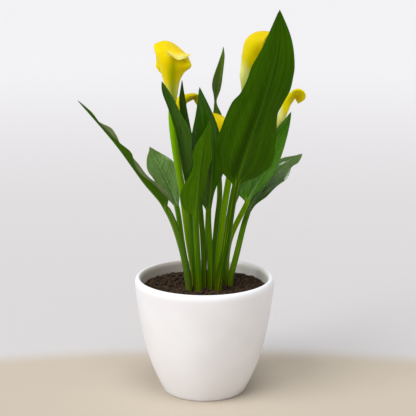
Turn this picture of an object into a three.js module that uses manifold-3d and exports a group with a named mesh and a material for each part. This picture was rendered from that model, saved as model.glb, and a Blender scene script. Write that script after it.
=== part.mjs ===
// A potted yellow calla lily: a tapered round pot filled with soil, a tuber in the soil, ten
// leaves on their stalks, and five flowers, each a green scape, a rolled spathe and a spadix.
// Millimetres, +Z up. The origin is the centre of the pot's flat base. Photographed from -Y.
import * as THREE from 'three';
import { mergeVertices } from 'three/addons/utils/BufferGeometryUtils.js';
import Module from 'manifold-3d';

// ---- driving dimensions -------------------------------------------------------------------
const GAP = 0.3; // clearance between a piece and the piece that carries it
const SOIL_TOP = 129; // mean height of the soil surface
const SOIL_BUMP = 1.6; // half height of its lumps
const FOOT = 105; // height at which every stalk starts, on top of the tuber
const BLADE = 0.9; // thickness of a leaf blade
const PETAL = 0.9; // thickness of a spathe
const ROLL_GAP = 0.9; // clearance where a spathe's margins overlap
const POT_SEGMENTS = 36;

// outer face from the base up, over the rim, then the inner face down to the inner floor
const POT_OUTER = [
  [0, 0], [48.5, 0], [51, 2.5], [57.6, 16], [64.8, 33], [71.2, 53], [76.5, 76],
  [80.7, 100], [83.6, 122], [85, 136], [84.6, 141], [82.6, 143.5],
];
const POT_INNER = [
  [79.4, 143.5], [77.8, 141], [77.3, 136], [76.4, 118], [70.4, 76], [65.2, 53],
  [58.8, 33], [51.5, 16], [45.5, 9], [0, 9],
];
const TUBER = [
  [0, 74], [22, 75.5], [35, 81], [41.5, 90], [41, 98], [37, FOOT - GAP], [0, FOOT - GAP],
];

// Leaves. path: centreline from the foot through the stalk to the tip, the lowest point in the
// soil. neck: the path point where the blade starts. face: azimuth in degrees of the upper side
// at the neck and at the tip. tilt: its elevation. outline: half widths, left and right of the
// midrib, at shares of the blade. fold: lift of the two halves in degrees at neck and tip. wave:
// height, count and phase of the margin's waves. stalk: radii of the petiole.
const LEAVES = {
  leaf_front_tall: {
    path: [[17, -19], [17, -20, 140], [25, -22, 182], [36.5, -33, 261], [50, -47, 308],
      [70, -60, 370], [84, -66, 430], [85, -64, 474]],
    neck: 3, face: [95, 90], tilt: 10, fold: [12, 6], curl: -0.05, lobe: 5, wave: [2.5, 1.6, 0.1],
    stalk: [5, 4.4], columns: 11, rings: 18,
    outline: [[0, 3, 3], [0.06, 15, 19], [0.18, 33, 35.5], [0.31, 30, 38.2], [0.464, 20, 36.5],
      [0.53, 22, 30.2], [0.6, 25, 27], [0.67, 24, 26], [0.732, 22, 22.5], [0.87, 12.5, 13],
      [1, 0.4, 0.4]],
  },
  leaf_front_short: {
    path: [[-6, -25], [-6.5, -26, 140], [-9, -33, 195], [-9.9, -38, 226.4], [-6.7, -47, 261.8],
      [-4.1, -54, 289.6], [-0.8, -58, 312.8], [2.7, -61, 330.9], [5.8, -62, 346.3]],
    neck: 3, face: [95, 85], tilt: 10, fold: [14, 8], lobe: 3, stalk: [3.9, 3.6], rings: 14,
    outline: [[0, 3, 3], [0.06, 4, 12], [0.12, 3.9, 17.5], [0.18, 4.4, 20.7], [0.25, 5.1, 21.1],
      [0.32, 7.2, 18.8], [0.4, 9, 13.9], [0.48, 9.3, 10.2], [0.56, 10.2, 9.3], [0.64, 11.7, 11.3],
      [0.72, 10.1, 10.5], [0.8, 7.6, 7.6], [0.88, 5.4, 4], [0.94, 3.6, 1.8], [1, 0.4, 0.4]],
  },
  leaf_centre: {
    path: [[7, -13], [7, -13, 140], [6.5, -12, 185], [5, -9, 223.6], [7.8, -11, 256.1],
      [9.8, -14, 290.8], [8.1, -13, 326.8], [1.9, -10, 355], [-5.7, -6, 377.1]],
    neck: 3, face: [-90, -85], tilt: 5, fold: [24, 16], lobe: 2, stalk: [3.5, 3.2], rings: 13,
    outline: [[0, 3, 3], [0.08, 8.8, 3.6], [0.18, 15, 5], [0.25, 19.6, 8], [0.32, 23, 13],
      [0.4, 26, 14.6], [0.48, 27.9, 13.6], [0.56, 27.8, 11.8], [0.64, 25.8, 9.8],
      [0.72, 21.7, 7.6], [0.8, 15.9, 5.2], [0.88, 10, 2.9], [0.94, 5.4, 1.5], [1, 0.4, 0.4]],
  },
  leaf_left_folded: {
    path: [[-10, -14], [-10.5, -14, 140], [-16, -18, 205], [-19.5, -25, 253.2],
      [-22.9, -28, 286.5], [-27.1, -30, 312], [-32.4, -31, 336], [-39.7, -31, 357.3],
      [-47.3, -29, 375.8], [-49.3, -28, 387.3]],
    neck: 3, face: [-60, -50], tilt: 5, fold: [40, 42], lobe: 2, stalk: [3.2, 3], rings: 12,
    outline: [[0, 3, 3], [0.1, 5.6, 8], [0.18, 7.5, 11], [0.25, 9.4, 12.3], [0.4, 11.5, 12.6],
      [0.48, 10.8, 14.6], [0.56, 10.8, 14.2], [0.64, 11, 11.4], [0.72, 10.1, 9.3],
      [0.8, 9.2, 8.4], [0.88, 7.6, 7.1], [0.94, 5.3, 5], [1, 0.4, 0.4]],
  },
  leaf_spike: {
    path: [[0, -3], [0, -3, 140], [-3, -1, 205], [-9.5, 1, 268.1], [-15.4, 3, 299.5],
      [-20.4, 4, 326.1], [-24.7, 4, 356.2], [-26.4, 2, 384.1]],
    neck: 3, face: [-90, -90], tilt: 5, fold: [35, 30], lobe: 2, stalk: [3.4, 3], rings: 11,
    outline: [[0, 2.6, 2.6], [0.1, 5, 3.2], [0.25, 5.6, 4.6], [0.4, 6.1, 5.2], [0.56, 6.3, 4.6],
      [0.72, 6.4, 3.6], [0.82, 5.4, 2.7], [0.9, 3.3, 1.6], [1, 0.4, 0.4]],
  },
  leaf_far_left: {
    path: [[-18, -17], [-19, -17, 140], [-27, -21, 185], [-43, -25, 231], [-71, -29, 268],
      [-101, -30, 310], [-122, -28, 335], [-148, -24, 364]],
    neck: 3, face: [-10, 0], tilt: 45, fold: [60, 60], lobe: 2, wave: [2, 3.1, 0.2],
    stalk: [4.7, 4], columns: 9, rings: 17,
    outline: [[0, 4, 4], [0.08, 14, 13], [0.18, 12, 14], [0.32, 5.5, 6.5], [0.42, 8, 8],
      [0.49, 11, 9], [0.58, 5.5, 5.5], [0.65, 6, 7], [0.71, 8, 8.5], [0.8, 4.2, 4.2],
      [0.9, 3.5, 3.5], [1, 0.4, 0.4]],
  },
  leaf_left_back: {
    path: [[-20, 7], [-20.5, 7.5, 140], [-27, 15, 180], [-33.8, 27, 223], [-39.9, 35, 238.8],
      [-47.9, 43, 253.4], [-56.4, 51, 267.4], [-64.2, 58, 279.8], [-68.1, 62, 292.1]],
    neck: 3, face: [-75, -75], tilt: 30, fold: [15, 8], lobe: 3, stalk: [3.5, 3.2], rings: 12,
    outline: [[0, 3, 3], [0.08, 4.6, 4], [0.18, 9.1, 8.4], [0.25, 11.8, 11.9],
      [0.4, 13.8, 18.2], [0.56, 14.6, 20.6], [0.64, 15.6, 20.2], [0.72, 14.4, 17.4],
      [0.8, 10.7, 14.1], [0.88, 6, 10.2], [0.94, 2.2, 5.4], [1, 0.4, 0.4]],
  },
  leaf_top_slim: {
    path: [[10, 6], [10.2, 6.4, 145], [15, 16, 205], [18.5, 22, 240], [16, 28, 285],
      [12, 31, 322], [13, 32, 338.8], [13.2, 33, 356.3], [15.6, 33, 369.7], [18.3, 33, 381.9],
      [21, 32, 400.1], [22.6, 31, 420]],
    neck: 5, face: [-60, -100], tilt: 5, fold: [30, 30], lobe: 0, stalk: [4, 2.8], rings: 14,
    outline: [[0, 2.6, 2.6], [0.08, 3.6, 10], [0.12, 4, 10], [0.18, 3.8, 7.4], [0.25, 2.4, 3.8],
      [0.32, 1.4, 1.9], [0.4, 4, 3.2], [0.48, 8.2, 4.4], [0.56, 9.6, 4.2], [0.64, 8.8, 3.6],
      [0.8, 4.8, 3.2], [0.88, 2.7, 3.2], [0.94, 1.1, 2.1], [1, 0.4, 0.4]],
  },
  leaf_right: {
    path: [[26, 9], [26.2, 9.2, 140], [31, 15, 185], [51.4, 22, 228.6], [58.7, 27, 242.5],
      [69.3, 30, 259.3], [82.2, 33, 278.7], [93.4, 34, 303.3], [100.6, 32, 323.4],
      [104.7, 30, 341.4]],
    neck: 3, face: [-115, -105], tilt: 20, fold: [25, 20], lobe: 6, stalk: [3.5, 3.2], rings: 13,
    outline: [[0, 3, 3], [0.06, 13, 3.4], [0.12, 16.5, 4.8], [0.18, 18.5, 8.3],
      [0.25, 20.4, 11.7], [0.32, 20.8, 13.4], [0.48, 20.9, 11.2], [0.64, 17.3, 7.7],
      [0.8, 11.3, 4.2], [0.88, 7.4, 2.6], [0.94, 3.9, 1.6], [1, 0.4, 0.4]],
  },
  leaf_right_low: {
    path: [[31, -4], [31.3, -3.5, 140], [38, 4, 165], [51.7, 28, 212], [59, 36, 225.3],
      [70, 45, 239.6], [83.6, 55, 253.1], [98.8, 64, 264], [112.1, 70, 273.6],
      [122.4, 74, 280.9]],
    neck: 3, face: [-95, -90], tilt: 45, fold: [15, 10], lobe: 3, stalk: [4, 3.4], rings: 14,
    outline: [[0, 3, 2.8], [0.1, 5.2, 3.4], [0.18, 7.9, 4.8], [0.25, 10.4, 8.2],
      [0.32, 12, 11.4], [0.48, 14.3, 13.3], [0.6, 15, 15], [0.66, 14.9, 14], [0.72, 13.8, 10.7],
      [0.78, 12.2, 6.4], [0.82, 10.6, 5.6], [0.88, 6.9, 6.6], [0.94, 3.5, 4.2], [1, 0.4, 0.4]],
  },
};

// Flowers. stem: centreline of the scape. base and axis: foot and direction of the spathe's
// tube. tip: azimuth in degrees of the spathe's pointed tip. bend: how far the tube has turned,
// in degrees toward the azimuth bendTo, at distances along it. meridians: [radius, distance along
// the tube] from foot to margin, at angles around the tube counted from the tip. overlap: how far
// each margin reaches past the back. shift: how far both margins lie round from there. layer: -1
// where the other margin lies outside. grid: columns and rows of the spathe.
const FLOWERS = {
  left: {
    stem: [[-11, -3], [-11.3, -3.1, 140], [-19, -6, 190], [-27, -9, 256], [-35, -9, 305]],
    base: [-38.5, -5, 352], axis: [0, 0, 1], tip: -8, overlap: 17.5, shift: 37.5, trim: 0,
    point: 2, layer: -1,
    meridians: {
      '-160': [[3.6, 0], [5, 8], [7, 20], [9.1, 33], [11.5, 41.7], [14.5, 50.4], [16.3, 55],
        [17, 57.5], [17.4, 60]],
      '-137': [[3.6, 0], [5, 8], [7, 20], [9.6, 33], [12.8, 44], [15.2, 53], [16.2, 59],
        [16.4, 63], [16.3, 66.5]],
      '-107': [[3.6, 0], [5, 8], [7, 20], [9.9, 33], [13.2, 44], [15.4, 54], [16, 62],
        [15.8, 66.5], [15.6, 70]],
      '-85': [[3.6, 0], [5, 8], [7, 20], [9.9, 33], [13, 44], [15, 54], [16, 63], [17.2, 67.5],
        [19.6, 66]],
      '-62': [[3.6, 0], [5, 8], [7, 20], [9.8, 33], [12.6, 44], [14, 53], [14.6, 61],
        [17.5, 65.3], [23, 60.4]],
      '-40': [[3.6, 0], [5, 8], [7, 20], [9.6, 33], [13.6, 44], [17, 51], [14.6, 60], [18, 65],
        [22, 60.6]],
      '-10': [[3.6, 0], [5, 8], [7, 20], [9, 32], [15, 42.5], [23, 50], [20.5, 58],
        [19.5, 62.5], [20.6, 62.5]],
      4: [[3.6, 0], [5, 8], [7, 20], [9, 31], [14.5, 42.5], [22.5, 50.5], [20, 58.5],
        [19.5, 62], [20.8, 63]],
      25: [[3.6, 0], [5, 8], [7, 20], [10, 33], [13.5, 44], [17.5, 51], [18.2, 57], [18.4, 60],
        [18.9, 62.6]],
      56: [[3.6, 0], [5, 8], [7, 20], [10.2, 33], [13.6, 44], [16.3, 53], [17.6, 60],
        [18.3, 63.5], [18.9, 66.5]],
      100: [[3.6, 0], [5, 8], [7, 20], [10.2, 34], [13.6, 46], [16, 57], [17.6, 66], [18.3, 71],
        [18.9, 75.5]],
      130: [[3.6, 0], [5, 8], [7, 20], [10.2, 34], [13.6, 46], [16, 57], [17.4, 66], [17.9, 72],
        [18.4, 77.6]],
      153: [[3.6, 0], [5, 8], [7, 20], [10, 33], [13.4, 45], [16.2, 56], [18.4, 66], [19.4, 71],
        [20.2, 75.8]],
      168: [[3.6, 0], [5, 8], [7, 20], [9.6, 32], [13, 43], [16.6, 51.5], [17.6, 58.5],
        [20.4, 66], [23, 72.6]],
      184: [[3.6, 0], [5, 8], [6.8, 20], [8.3, 31], [11.3, 39], [16.8, 44.6], [19.4, 50],
        [17.6, 56], [18.4, 61]],
      202: [[3.4, 0], [4.6, 8], [6.2, 20], [7.6, 31], [9.6, 39], [12.4, 44], [14, 48],
        [14.2, 51], [14.4, 54]],
      236: [[3.4, 0], [4.6, 8], [6, 20], [8, 31], [10.4, 40], [12.5, 46], [13.4, 50],
        [13.8, 53], [14, 55]],
    },
    scape: [4, 4], spadix: [38, 2.9], grid: [29, 15],
  },
  high: {
    stem: [[14, -4], [14.2, -4, 140], [22, 1, 215], [28, 4, 255], [38, 8, 311]],
    base: [48.2, 10, 369], axis: [0.14, 0, 1], tip: 165, overlap: 20, trim: 0.08, point: 6,
    bendTo: -10,
    bend: [[0, 0], [20, 4], [40, 10], [52, 22], [64, 55], [76, 90]],
    meridians: {
      '-90': [[3.6, 0], [5.5, 8], [9, 20], [13, 32], [16, 43], [18, 56], [21, 66]],
      '-40': [[3.6, 0], [5.5, 8], [8.8, 20], [13, 33], [16, 48], [16, 60], [16, 69]],
      0: [[3.6, 0], [5.5, 8], [8.4, 20], [12, 32], [15.4, 46], [14.4, 62], [8, 75]],
      50: [[3.6, 0], [5.5, 8], [8.4, 20], [12.4, 33], [15.8, 47], [16, 62], [15, 74]],
      90: [[3.6, 0], [5.5, 8], [9, 20], [13, 32], [16, 45], [17, 57], [19, 68]],
      180: [[3.6, 0], [5.5, 8], [9, 20], [12, 28], [14, 35], [16, 41], [20, 45]],
    },
    scape: [3.8, 4], spadix: [34, 3.1], grid: [21, 10],
  },
  right: {
    stem: [[16, 14], [16.2, 14, 140], [23, 21, 190], [49, 38, 255], [74, 42, 285]],
    base: [88.5, 42, 315], axis: [0.27, 0, 1], tip: 160, overlap: 12, trim: 0.05, point: 2,
    bendTo: -20,
    bend: [[0, 0], [30, 4], [38, 14], [45, 42], [52, 85], [60, 125]],
    meridians: {
      '-90': [[2.9, 0], [3.9, 7], [4.6, 17], [4.8, 28], [5, 38], [5.2, 45], [5.6, 51]],
      0: [[2.9, 0], [3.9, 7], [4.6, 17], [4.8, 30], [5, 42], [5, 53], [4, 64]],
      90: [[2.9, 0], [3.9, 7], [4.6, 17], [4.8, 28], [5, 38], [5.2, 45], [5.6, 51]],
      180: [[2.9, 0], [3.9, 7], [4.4, 15], [4.6, 22], [4.7, 28], [4.8, 33], [5.2, 37]],
    },
    scape: [3, 3.2], spadix: [28, 2.2], grid: [17, 12],
  },
  left_low: {
    stem: [[-9, 8], [-9.1, 8.1, 140], [-13, 12, 210], [-23, 17, 270]],
    base: [-30.5, 20, 317], axis: [0.03, 0, 1], tip: 180, overlap: 12, trim: 0.05, point: 2,
    bendTo: 0,
    bend: [[0, 0], [24, 3], [33, 12], [41, 36], [48, 66], [57, 105], [65, 150]],
    meridians: {
      '-90': [[2.9, 0], [4, 7], [5.5, 17], [6.6, 28], [5.8, 37], [4.6, 45], [4.3, 53]],
      0: [[2.9, 0], [4, 7], [5.5, 17], [7, 30], [6.4, 42], [4.2, 53], [2, 64]],
      90: [[2.9, 0], [4, 7], [5.5, 17], [6.6, 28], [5.8, 37], [4.6, 45], [4.3, 53]],
      180: [[2.9, 0], [4, 7], [5.5, 17], [6.3, 24], [5.8, 30], [5.4, 34], [5.4, 38]],
    },
    scape: [3, 3.2], spadix: [26, 2.2], grid: [17, 11],
  },
  centre: {
    stem: [[-1, 15], [-0.9, 15.1, 140], [3.5, 14, 200], [6, 10, 260]],
    base: [8, 9, 290], axis: [0.08, 0, 1], tip: 115, overlap: 12, trim: 0.1, point: 1,
    meridians: {
      '-90': [[2.9, 0], [4, 7], [5, 17], [7, 28], [10, 37], [12.5, 42], [16, 46]],
      0: [[2.9, 0], [4, 7], [5, 17], [7.5, 28], [10.5, 38], [12.4, 45], [13.6, 51]],
      90: [[2.9, 0], [4, 7], [5, 17], [7, 27], [9, 35], [10.5, 40], [12, 45]],
      180: [[2.9, 0], [4, 6], [5, 13], [6.2, 19], [7.4, 23], [8.4, 26], [10, 28]],
    },
    scape: [3, 3.2], spadix: [24, 2.2], grid: [17, 9],
  },
};

const COLOURS = {
  pot: 0xeeebe9,
  soil: 0x33281c,
  tuber: 0x6b4f33,
  leaf: 0x2d4f12,
  scape: 0x4c6b14,
  spathe: 0xe3c51a,
  spadix: 0xd9a514,
};

// ---- small helpers ------------------------------------------------------------------------
const up = new THREE.Vector3(0, 0, 1);
const lerp = THREE.MathUtils.lerp;
const clamp = THREE.MathUtils.clamp;
const radians = THREE.MathUtils.degToRad;

function smooth(x) {
  return THREE.MathUtils.smoothstep(x, 0, 1);
}

function direction(azimuth, elevation) {
  const a = radians(azimuth);
  const e = radians(elevation);
  return new THREE.Vector3(Math.cos(e) * Math.cos(a), Math.cos(e) * Math.sin(a), Math.sin(e));
}

// a vector made perpendicular to an axis, with length 1
function across(vector, axis) {
  return vector.clone().addScaledVector(axis, -vector.dot(axis)).normalize();
}

// smooth value of a table's column at x; the first column holds the positions
function tableAt(rows, x, column) {
  let k = 0;
  while (k < rows.length - 2 && x > rows[k + 1][0]) k += 1;
  const slope = (i, j) => (rows[j][column] - rows[i][column]) / (rows[j][0] - rows[i][0]);
  const h = rows[k + 1][0] - rows[k][0];
  const t = clamp((x - rows[k][0]) / h, 0, 1);
  const m0 = k > 0 ? slope(k - 1, k + 1) : slope(k, k + 1);
  const m1 = k < rows.length - 2 ? slope(k, k + 2) : slope(k, k + 1);
  const a = rows[k][column];
  const b = rows[k + 1][column];
  return (1 + 2 * t) * (1 - t) ** 2 * a + t * (1 - t) ** 2 * h * m0
    + t * t * (3 - 2 * t) * b + t * t * (t - 1) * h * m1;
}

// straight-line value of a table's second column at x
function linearAt(rows, x) {
  let k = 0;
  while (k < rows.length - 2 && x > rows[k + 1][0]) k += 1;
  const t = clamp((x - rows[k][0]) / (rows[k + 1][0] - rows[k][0]), 0, 1);
  return lerp(rows[k][1], rows[k + 1][1], t);
}

function material(colour, roughness) {
  return new THREE.MeshStandardMaterial({ color: colour, roughness, metalness: 0 });
}

// Closed geometry from rows of points that run around it, each row a closed ring, with a fan
// over the first and the last row. The rings turn so that (along the ring) x (row to row) is out.
function ringSolid(rings) {
  const positions = [];
  const indices = [];
  const n = rings[0].length;
  rings.forEach((ring) => ring.forEach((p) => positions.push(p.x, p.y, p.z)));
  for (let k = 0; k + 1 < rings.length; k += 1) {
    for (let i = 0; i < n; i += 1) {
      const a = k * n + i;
      const b = k * n + ((i + 1) % n);
      indices.push(a, b, b + n, a, b + n, a + n);
    }
  }
  [0, rings.length - 1].forEach((k) => {
    const centre = new THREE.Vector3();
    rings[k].forEach((p) => centre.addScaledVector(p, 1 / n));
    const hub = positions.length / 3;
    positions.push(centre.x, centre.y, centre.z);
    for (let i = 0; i < n; i += 1) {
      const a = k * n + i;
      const b = k * n + ((i + 1) % n);
      if (k === 0) indices.push(hub, b, a);
      else indices.push(hub, a, b);
    }
  });
  const geometry = new THREE.BufferGeometry();
  geometry.setAttribute('position', new THREE.Float32BufferAttribute(positions, 3));
  geometry.setIndex(indices);
  return geometry;
}

// Closed sheet between two grids of points with the same rows and columns. (column to column)
// x (row to row) points out of the top grid. Both faces are cut into the same triangles.
function sheetSolid(top, bottom) {
  const rows = top.length;
  const columns = top[0].length;
  const positions = [];
  const indices = [];
  [top, bottom].forEach((grid) => {
    grid.forEach((row) => row.forEach((p) => positions.push(p.x, p.y, p.z)));
  });
  const T = (k, i) => k * columns + i;
  const B = (k, i) => rows * columns + k * columns + i;
  const quad = (a, b, c, d) => indices.push(a, b, c, a, c, d);
  for (let k = 0; k + 1 < rows; k += 1) {
    for (let i = 0; i + 1 < columns; i += 1) {
      if (i < (columns - 1) / 2) {
        quad(T(k, i), T(k, i + 1), T(k + 1, i + 1), T(k + 1, i));
        quad(B(k + 1, i + 1), B(k, i + 1), B(k, i), B(k + 1, i));
      } else {
        quad(T(k, i + 1), T(k + 1, i + 1), T(k + 1, i), T(k, i));
        quad(B(k + 1, i), B(k + 1, i + 1), B(k, i + 1), B(k, i));
      }
    }
    const last = columns - 1;
    quad(T(k, 0), T(k + 1, 0), B(k + 1, 0), B(k, 0));
    quad(T(k + 1, last), T(k, last), B(k, last), B(k + 1, last));
  }
  for (let i = 0; i + 1 < columns; i += 1) {
    const end = rows - 1;
    quad(T(0, i + 1), T(0, i), B(0, i), B(0, i + 1));
    quad(T(end, i), T(end, i + 1), B(end, i + 1), B(end, i));
  }
  const geometry = new THREE.BufferGeometry();
  geometry.setAttribute('position', new THREE.Float32BufferAttribute(positions, 3));
  geometry.setIndex(indices);
  return geometry;
}

// unit normals of a grid of points, (column to column) x (row to row)
function gridNormals(grid) {
  const rows = grid.length;
  const columns = grid[0].length;
  return grid.map((row, k) => row.map((_, i) => {
    const across0 = grid[k][Math.max(i - 1, 0)];
    const across1 = grid[k][Math.min(i + 1, columns - 1)];
    const along0 = grid[Math.max(k - 1, 0)][i];
    const along1 = grid[Math.min(k + 1, rows - 1)][i];
    return across1.clone().sub(across0).cross(along1.clone().sub(along0)).normalize();
  }));
}

function lathe(profile, segments) {
  const points = profile.map(([r, z]) => new THREE.Vector2(r, z));
  const geometry = new THREE.LatheGeometry(points, segments);
  geometry.rotateX(Math.PI / 2);
  return geometry;
}

// the centreline of a stalk: straight up out of the soil, then through its points
function stalkCurve(points) {
  const [x, y] = points[0];
  const lifted = [[x, y, FOOT], [x, y, (FOOT + points[1][2]) / 2], ...points.slice(1)];
  return new THREE.CatmullRomCurve3(lifted.map((p) => new THREE.Vector3(...p)));
}

// share of a curve's length at one of its points
function shareAtPoint(curve, index) {
  const steps = 60 * (curve.points.length - 1);
  const lengths = curve.getLengths(steps);
  return lengths[60 * index] / lengths[steps];
}

// ring of points around a centre, in the plane across a direction
function ring(centre, along, radius, sides, turn = 0) {
  const u = across(new THREE.Vector3(0.02, 1, 0), along);
  const v = along.clone().cross(u);
  return Array.from({ length: sides }, (_, i) => {
    const a = ((i + turn) / sides) * Math.PI * 2;
    const r = typeof radius === 'function' ? radius(i) : radius;
    return centre.clone().addScaledVector(u, r * Math.cos(a)).addScaledVector(v, r * Math.sin(a));
  });
}

// ---- leaves -------------------------------------------------------------------------------
function leafGeometry(leaf) {
  const curve = stalkCurve(leaf.path);
  const neck = shareAtPoint(curve, leaf.neck + 1);
  const columns = leaf.columns ?? 7;
  const shares = [0, 0.14, 0.32, 0.52, 0.75].map((s) => s * neck);
  const blade = [0, 0.03, 0.08, ...Array.from({ length: leaf.rings }, (_, i) =>
    0.08 + (0.997 - 0.08) * ((i + 1) / leaf.rings))];
  shares.push(...blade.map((t) => lerp(neck, 1, t)));
  const wave = leaf.wave ?? [0, 0, 0];
  const middle = [];
  const offsets = [];
  shares.forEach((share) => {
    const centre = curve.getPointAt(share);
    const along = share < 0.02 ? up.clone() : curve.getTangentAt(share);
    const t = clamp((share - neck) / (1 - neck), 0, 1);
    const azimuth = lerp(leaf.face[0], leaf.face[1], smooth(t));
    const normal = across(direction(azimuth, leaf.tilt), along);
    const side = along.clone().cross(normal);
    const stalk = lerp(leaf.stalk[0], leaf.stalk[1], clamp(share / neck, 0, 1));
    const blend = smooth(t / 0.1);
    const fold = radians(lerp(leaf.fold[0], leaf.fold[1], t));
    const row = [];
    const pair = [];
    for (let i = 0; i < columns; i += 1) {
      const u = (2 * i) / (columns - 1) - 1;
      const theta = ((1 - u) * Math.PI) / 2;
      const width = halfWidth(leaf, t, u < 0 ? 0 : 1);
      const s = width * u;
      const ruffle = wave[0] * Math.sin(2 * Math.PI * (wave[1] * t + wave[2] + (u < 0 ? 0.31 : 0)))
        * Math.sqrt(Math.max(0, Math.sin(Math.PI * t))) * Math.abs(u) ** 1.6;
      const lift = (Math.sqrt(s * s + 2.25) - 1.5) * Math.sin(fold)
        + (leaf.curl ?? 0) * width * Math.abs(u) ** 2.2 + ruffle;
      const x = (1 - blend) * stalk * Math.cos(theta) + blend * s * Math.cos(fold);
      const back = blend * leaf.lobe * Math.abs(u) ** 1.5 * (1 - t) ** 3;
      row.push(centre.clone().addScaledVector(side, x).addScaledVector(normal, blend * lift)
        .addScaledVector(along, -back));
      const groove = 1 - 0.22 * Math.exp(-((Math.cos(theta) / 0.45) ** 2));
      const rib = 0.2 + 0.6 * stalk * (1 - t) ** 1.2;
      const round = stalk * Math.sin(theta);
      pair.push([
        (1 - blend) * (round * groove + 0.3) + (blend * BLADE) / 2,
        (1 - blend) * (round + 0.3)
          + blend * (BLADE / 2 + Math.sqrt(Math.max(0, rib * rib - s * s))),
      ]);
    }
    middle.push(row);
    offsets.push(pair);
  });
  const normals = gridNormals(middle);
  const shifted = (which, sign) => middle.map((row, k) => row.map((p, i) =>
    p.clone().addScaledVector(normals[k][i], sign * offsets[k][i][which])));
  return sheetSolid(shifted(0, 1), shifted(1, -1));
}

// half width of a blade at a share of its length: left side 0, right side 1
function halfWidth(leaf, t, side) {
  return Math.max(0.35, tableAt(leaf.outline, t, side + 1));
}

// ---- flowers ------------------------------------------------------------------------------
// centreline of a spathe's tube: a straight or bending run from the base
function tubeLine(flower) {
  const axis = new THREE.Vector3(...flower.axis).normalize();
  const bendAxis = across(direction(flower.bendTo ?? 0, 0), axis);
  const bend = flower.bend ?? [[0, 0], [100, 0]];
  const steps = 240;
  const reach = 120;
  const points = [new THREE.Vector3(...flower.base)];
  const turned = (angle) => axis.clone().multiplyScalar(Math.cos(angle))
    .addScaledVector(bendAxis, Math.sin(angle));
  for (let i = 0; i < steps; i += 1) {
    const middle = radians(linearAt(bend, ((i + 0.5) * reach) / steps));
    points.push(points[i].clone().addScaledVector(turned(middle), reach / steps));
  }
  return {
    point(distance) {
      const x = clamp(distance / reach, 0, 0.9999) * steps;
      const i = Math.floor(x);
      return points[i].clone().lerp(points[i + 1], x - i);
    },
    along(distance) {
      return turned(radians(linearAt(bend, distance)));
    },
    // a direction across the foot of the tube, carried along the bend
    carry(vector, distance) {
      const angle = radians(linearAt(bend, distance));
      const part = vector.dot(bendAxis);
      return vector.clone().addScaledVector(bendAxis, part * (Math.cos(angle) - 1))
        .addScaledVector(axis, -part * Math.sin(angle));
    },
    axis,
  };
}

// the meridian's control points at an angle from the tip, in degrees
function meridianAt(flower, angle) {
  const sorted = Object.entries(flower.meridians).map(([key, line]) => [Number(key), ...line.flat()])
    .sort((a, b) => a[0] - b[0]);
  const turned = (rows, by) => rows.map(([key, ...line]) => [key + by, ...line]);
  const whole = sorted[sorted.length - 1][0] - sorted[0][0] < 360;
  const rows = whole
    ? [...turned(sorted.slice(-2), -360), ...sorted, ...turned(sorted.slice(0, 2), 360)] : sorted;
  return Array.from({ length: (sorted[0].length - 1) / 2 }, (_, i) =>
    [tableAt(rows, angle, 1 + 2 * i), tableAt(rows, angle, 2 + 2 * i)]);
}

function spatheGeometry(flower, columns, rows) {
  const line = tubeLine(flower);
  const tipward = across(direction(flower.tip, 0), line.axis);
  const sideways = line.axis.clone().cross(tipward);
  const sheet = Array.from({ length: rows }, () => []);
  for (let j = 0; j < columns; j += 1) {
    const q = (2 * j) / (columns - 1) - 1;
    const u = Math.sign(q) * Math.abs(q) ** 1.15;
    const phi = u * (Math.PI + radians(flower.overlap)) + radians(flower.shift ?? 0);
    const control = meridianAt(flower, THREE.MathUtils.radToDeg(phi));
    const [r1, z1] = control[control.length - 1];
    const [r0, z0] = control[control.length - 2];
    const extra = (flower.point * Math.exp(-((phi / 0.3) ** 2))) / Math.hypot(r1 - r0, z1 - z0);
    control[control.length - 1] = [r1 + (r1 - r0) * extra, z1 + (z1 - z0) * extra];
    const curve = new THREE.CatmullRomCurve3(control.map(([r, z]) => new THREE.Vector3(r, 0, z)));
    const trim = 1 - flower.trim * smooth((Math.abs(u) - 0.72) / 0.28) ** 1.5;
    const out = tipward.clone().multiplyScalar(Math.cos(phi))
      .addScaledVector(sideways, Math.sin(phi));
    for (let k = 0; k < rows; k += 1) {
      const share = (k / (rows - 1)) ** 0.95 * trim;
      const { x: radius, z: distance } = curve.getPointAt(share);
      const slope = curve.getTangentAt(share);
      const outward = line.carry(out, distance);
      const along = line.along(distance);
      const normal = outward.clone().multiplyScalar(slope.z).addScaledVector(along, -slope.x);
      sheet[k].push(line.point(distance).addScaledVector(outward, radius)
        .addScaledVector(normal, ((PETAL + ROLL_GAP) / 2) * u * (flower.layer ?? 1)));
    }
  }
  const normals = gridNormals(sheet);
  const face = (sign) => sheet.map((row, k) => row.map((p, i) =>
    p.clone().addScaledVector(normals[k][i], (sign * PETAL) / 2)));
  return sheetSolid(face(1), face(-1));
}

function scapeGeometry(flower, sides, steps) {
  const axis = new THREE.Vector3(...flower.axis).normalize();
  const base = new THREE.Vector3(...flower.base);
  const top = base.clone().addScaledVector(axis, -GAP);
  const below = base.clone().addScaledVector(axis, -16);
  const curve = stalkCurve([...flower.stem, below.toArray(), top.toArray()]);
  const rings = [];
  for (let k = 0; k <= steps; k += 1) {
    const share = k / steps;
    const radius = lerp(flower.scape[0], flower.scape[1], share);
    let along = curve.getTangentAt(share);
    if (k === 0) along = up.clone();
    if (k === steps) along = axis.clone();
    rings.push(ring(curve.getPointAt(share), along, radius, sides));
  }
  return ringSolid(rings);
}

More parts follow.
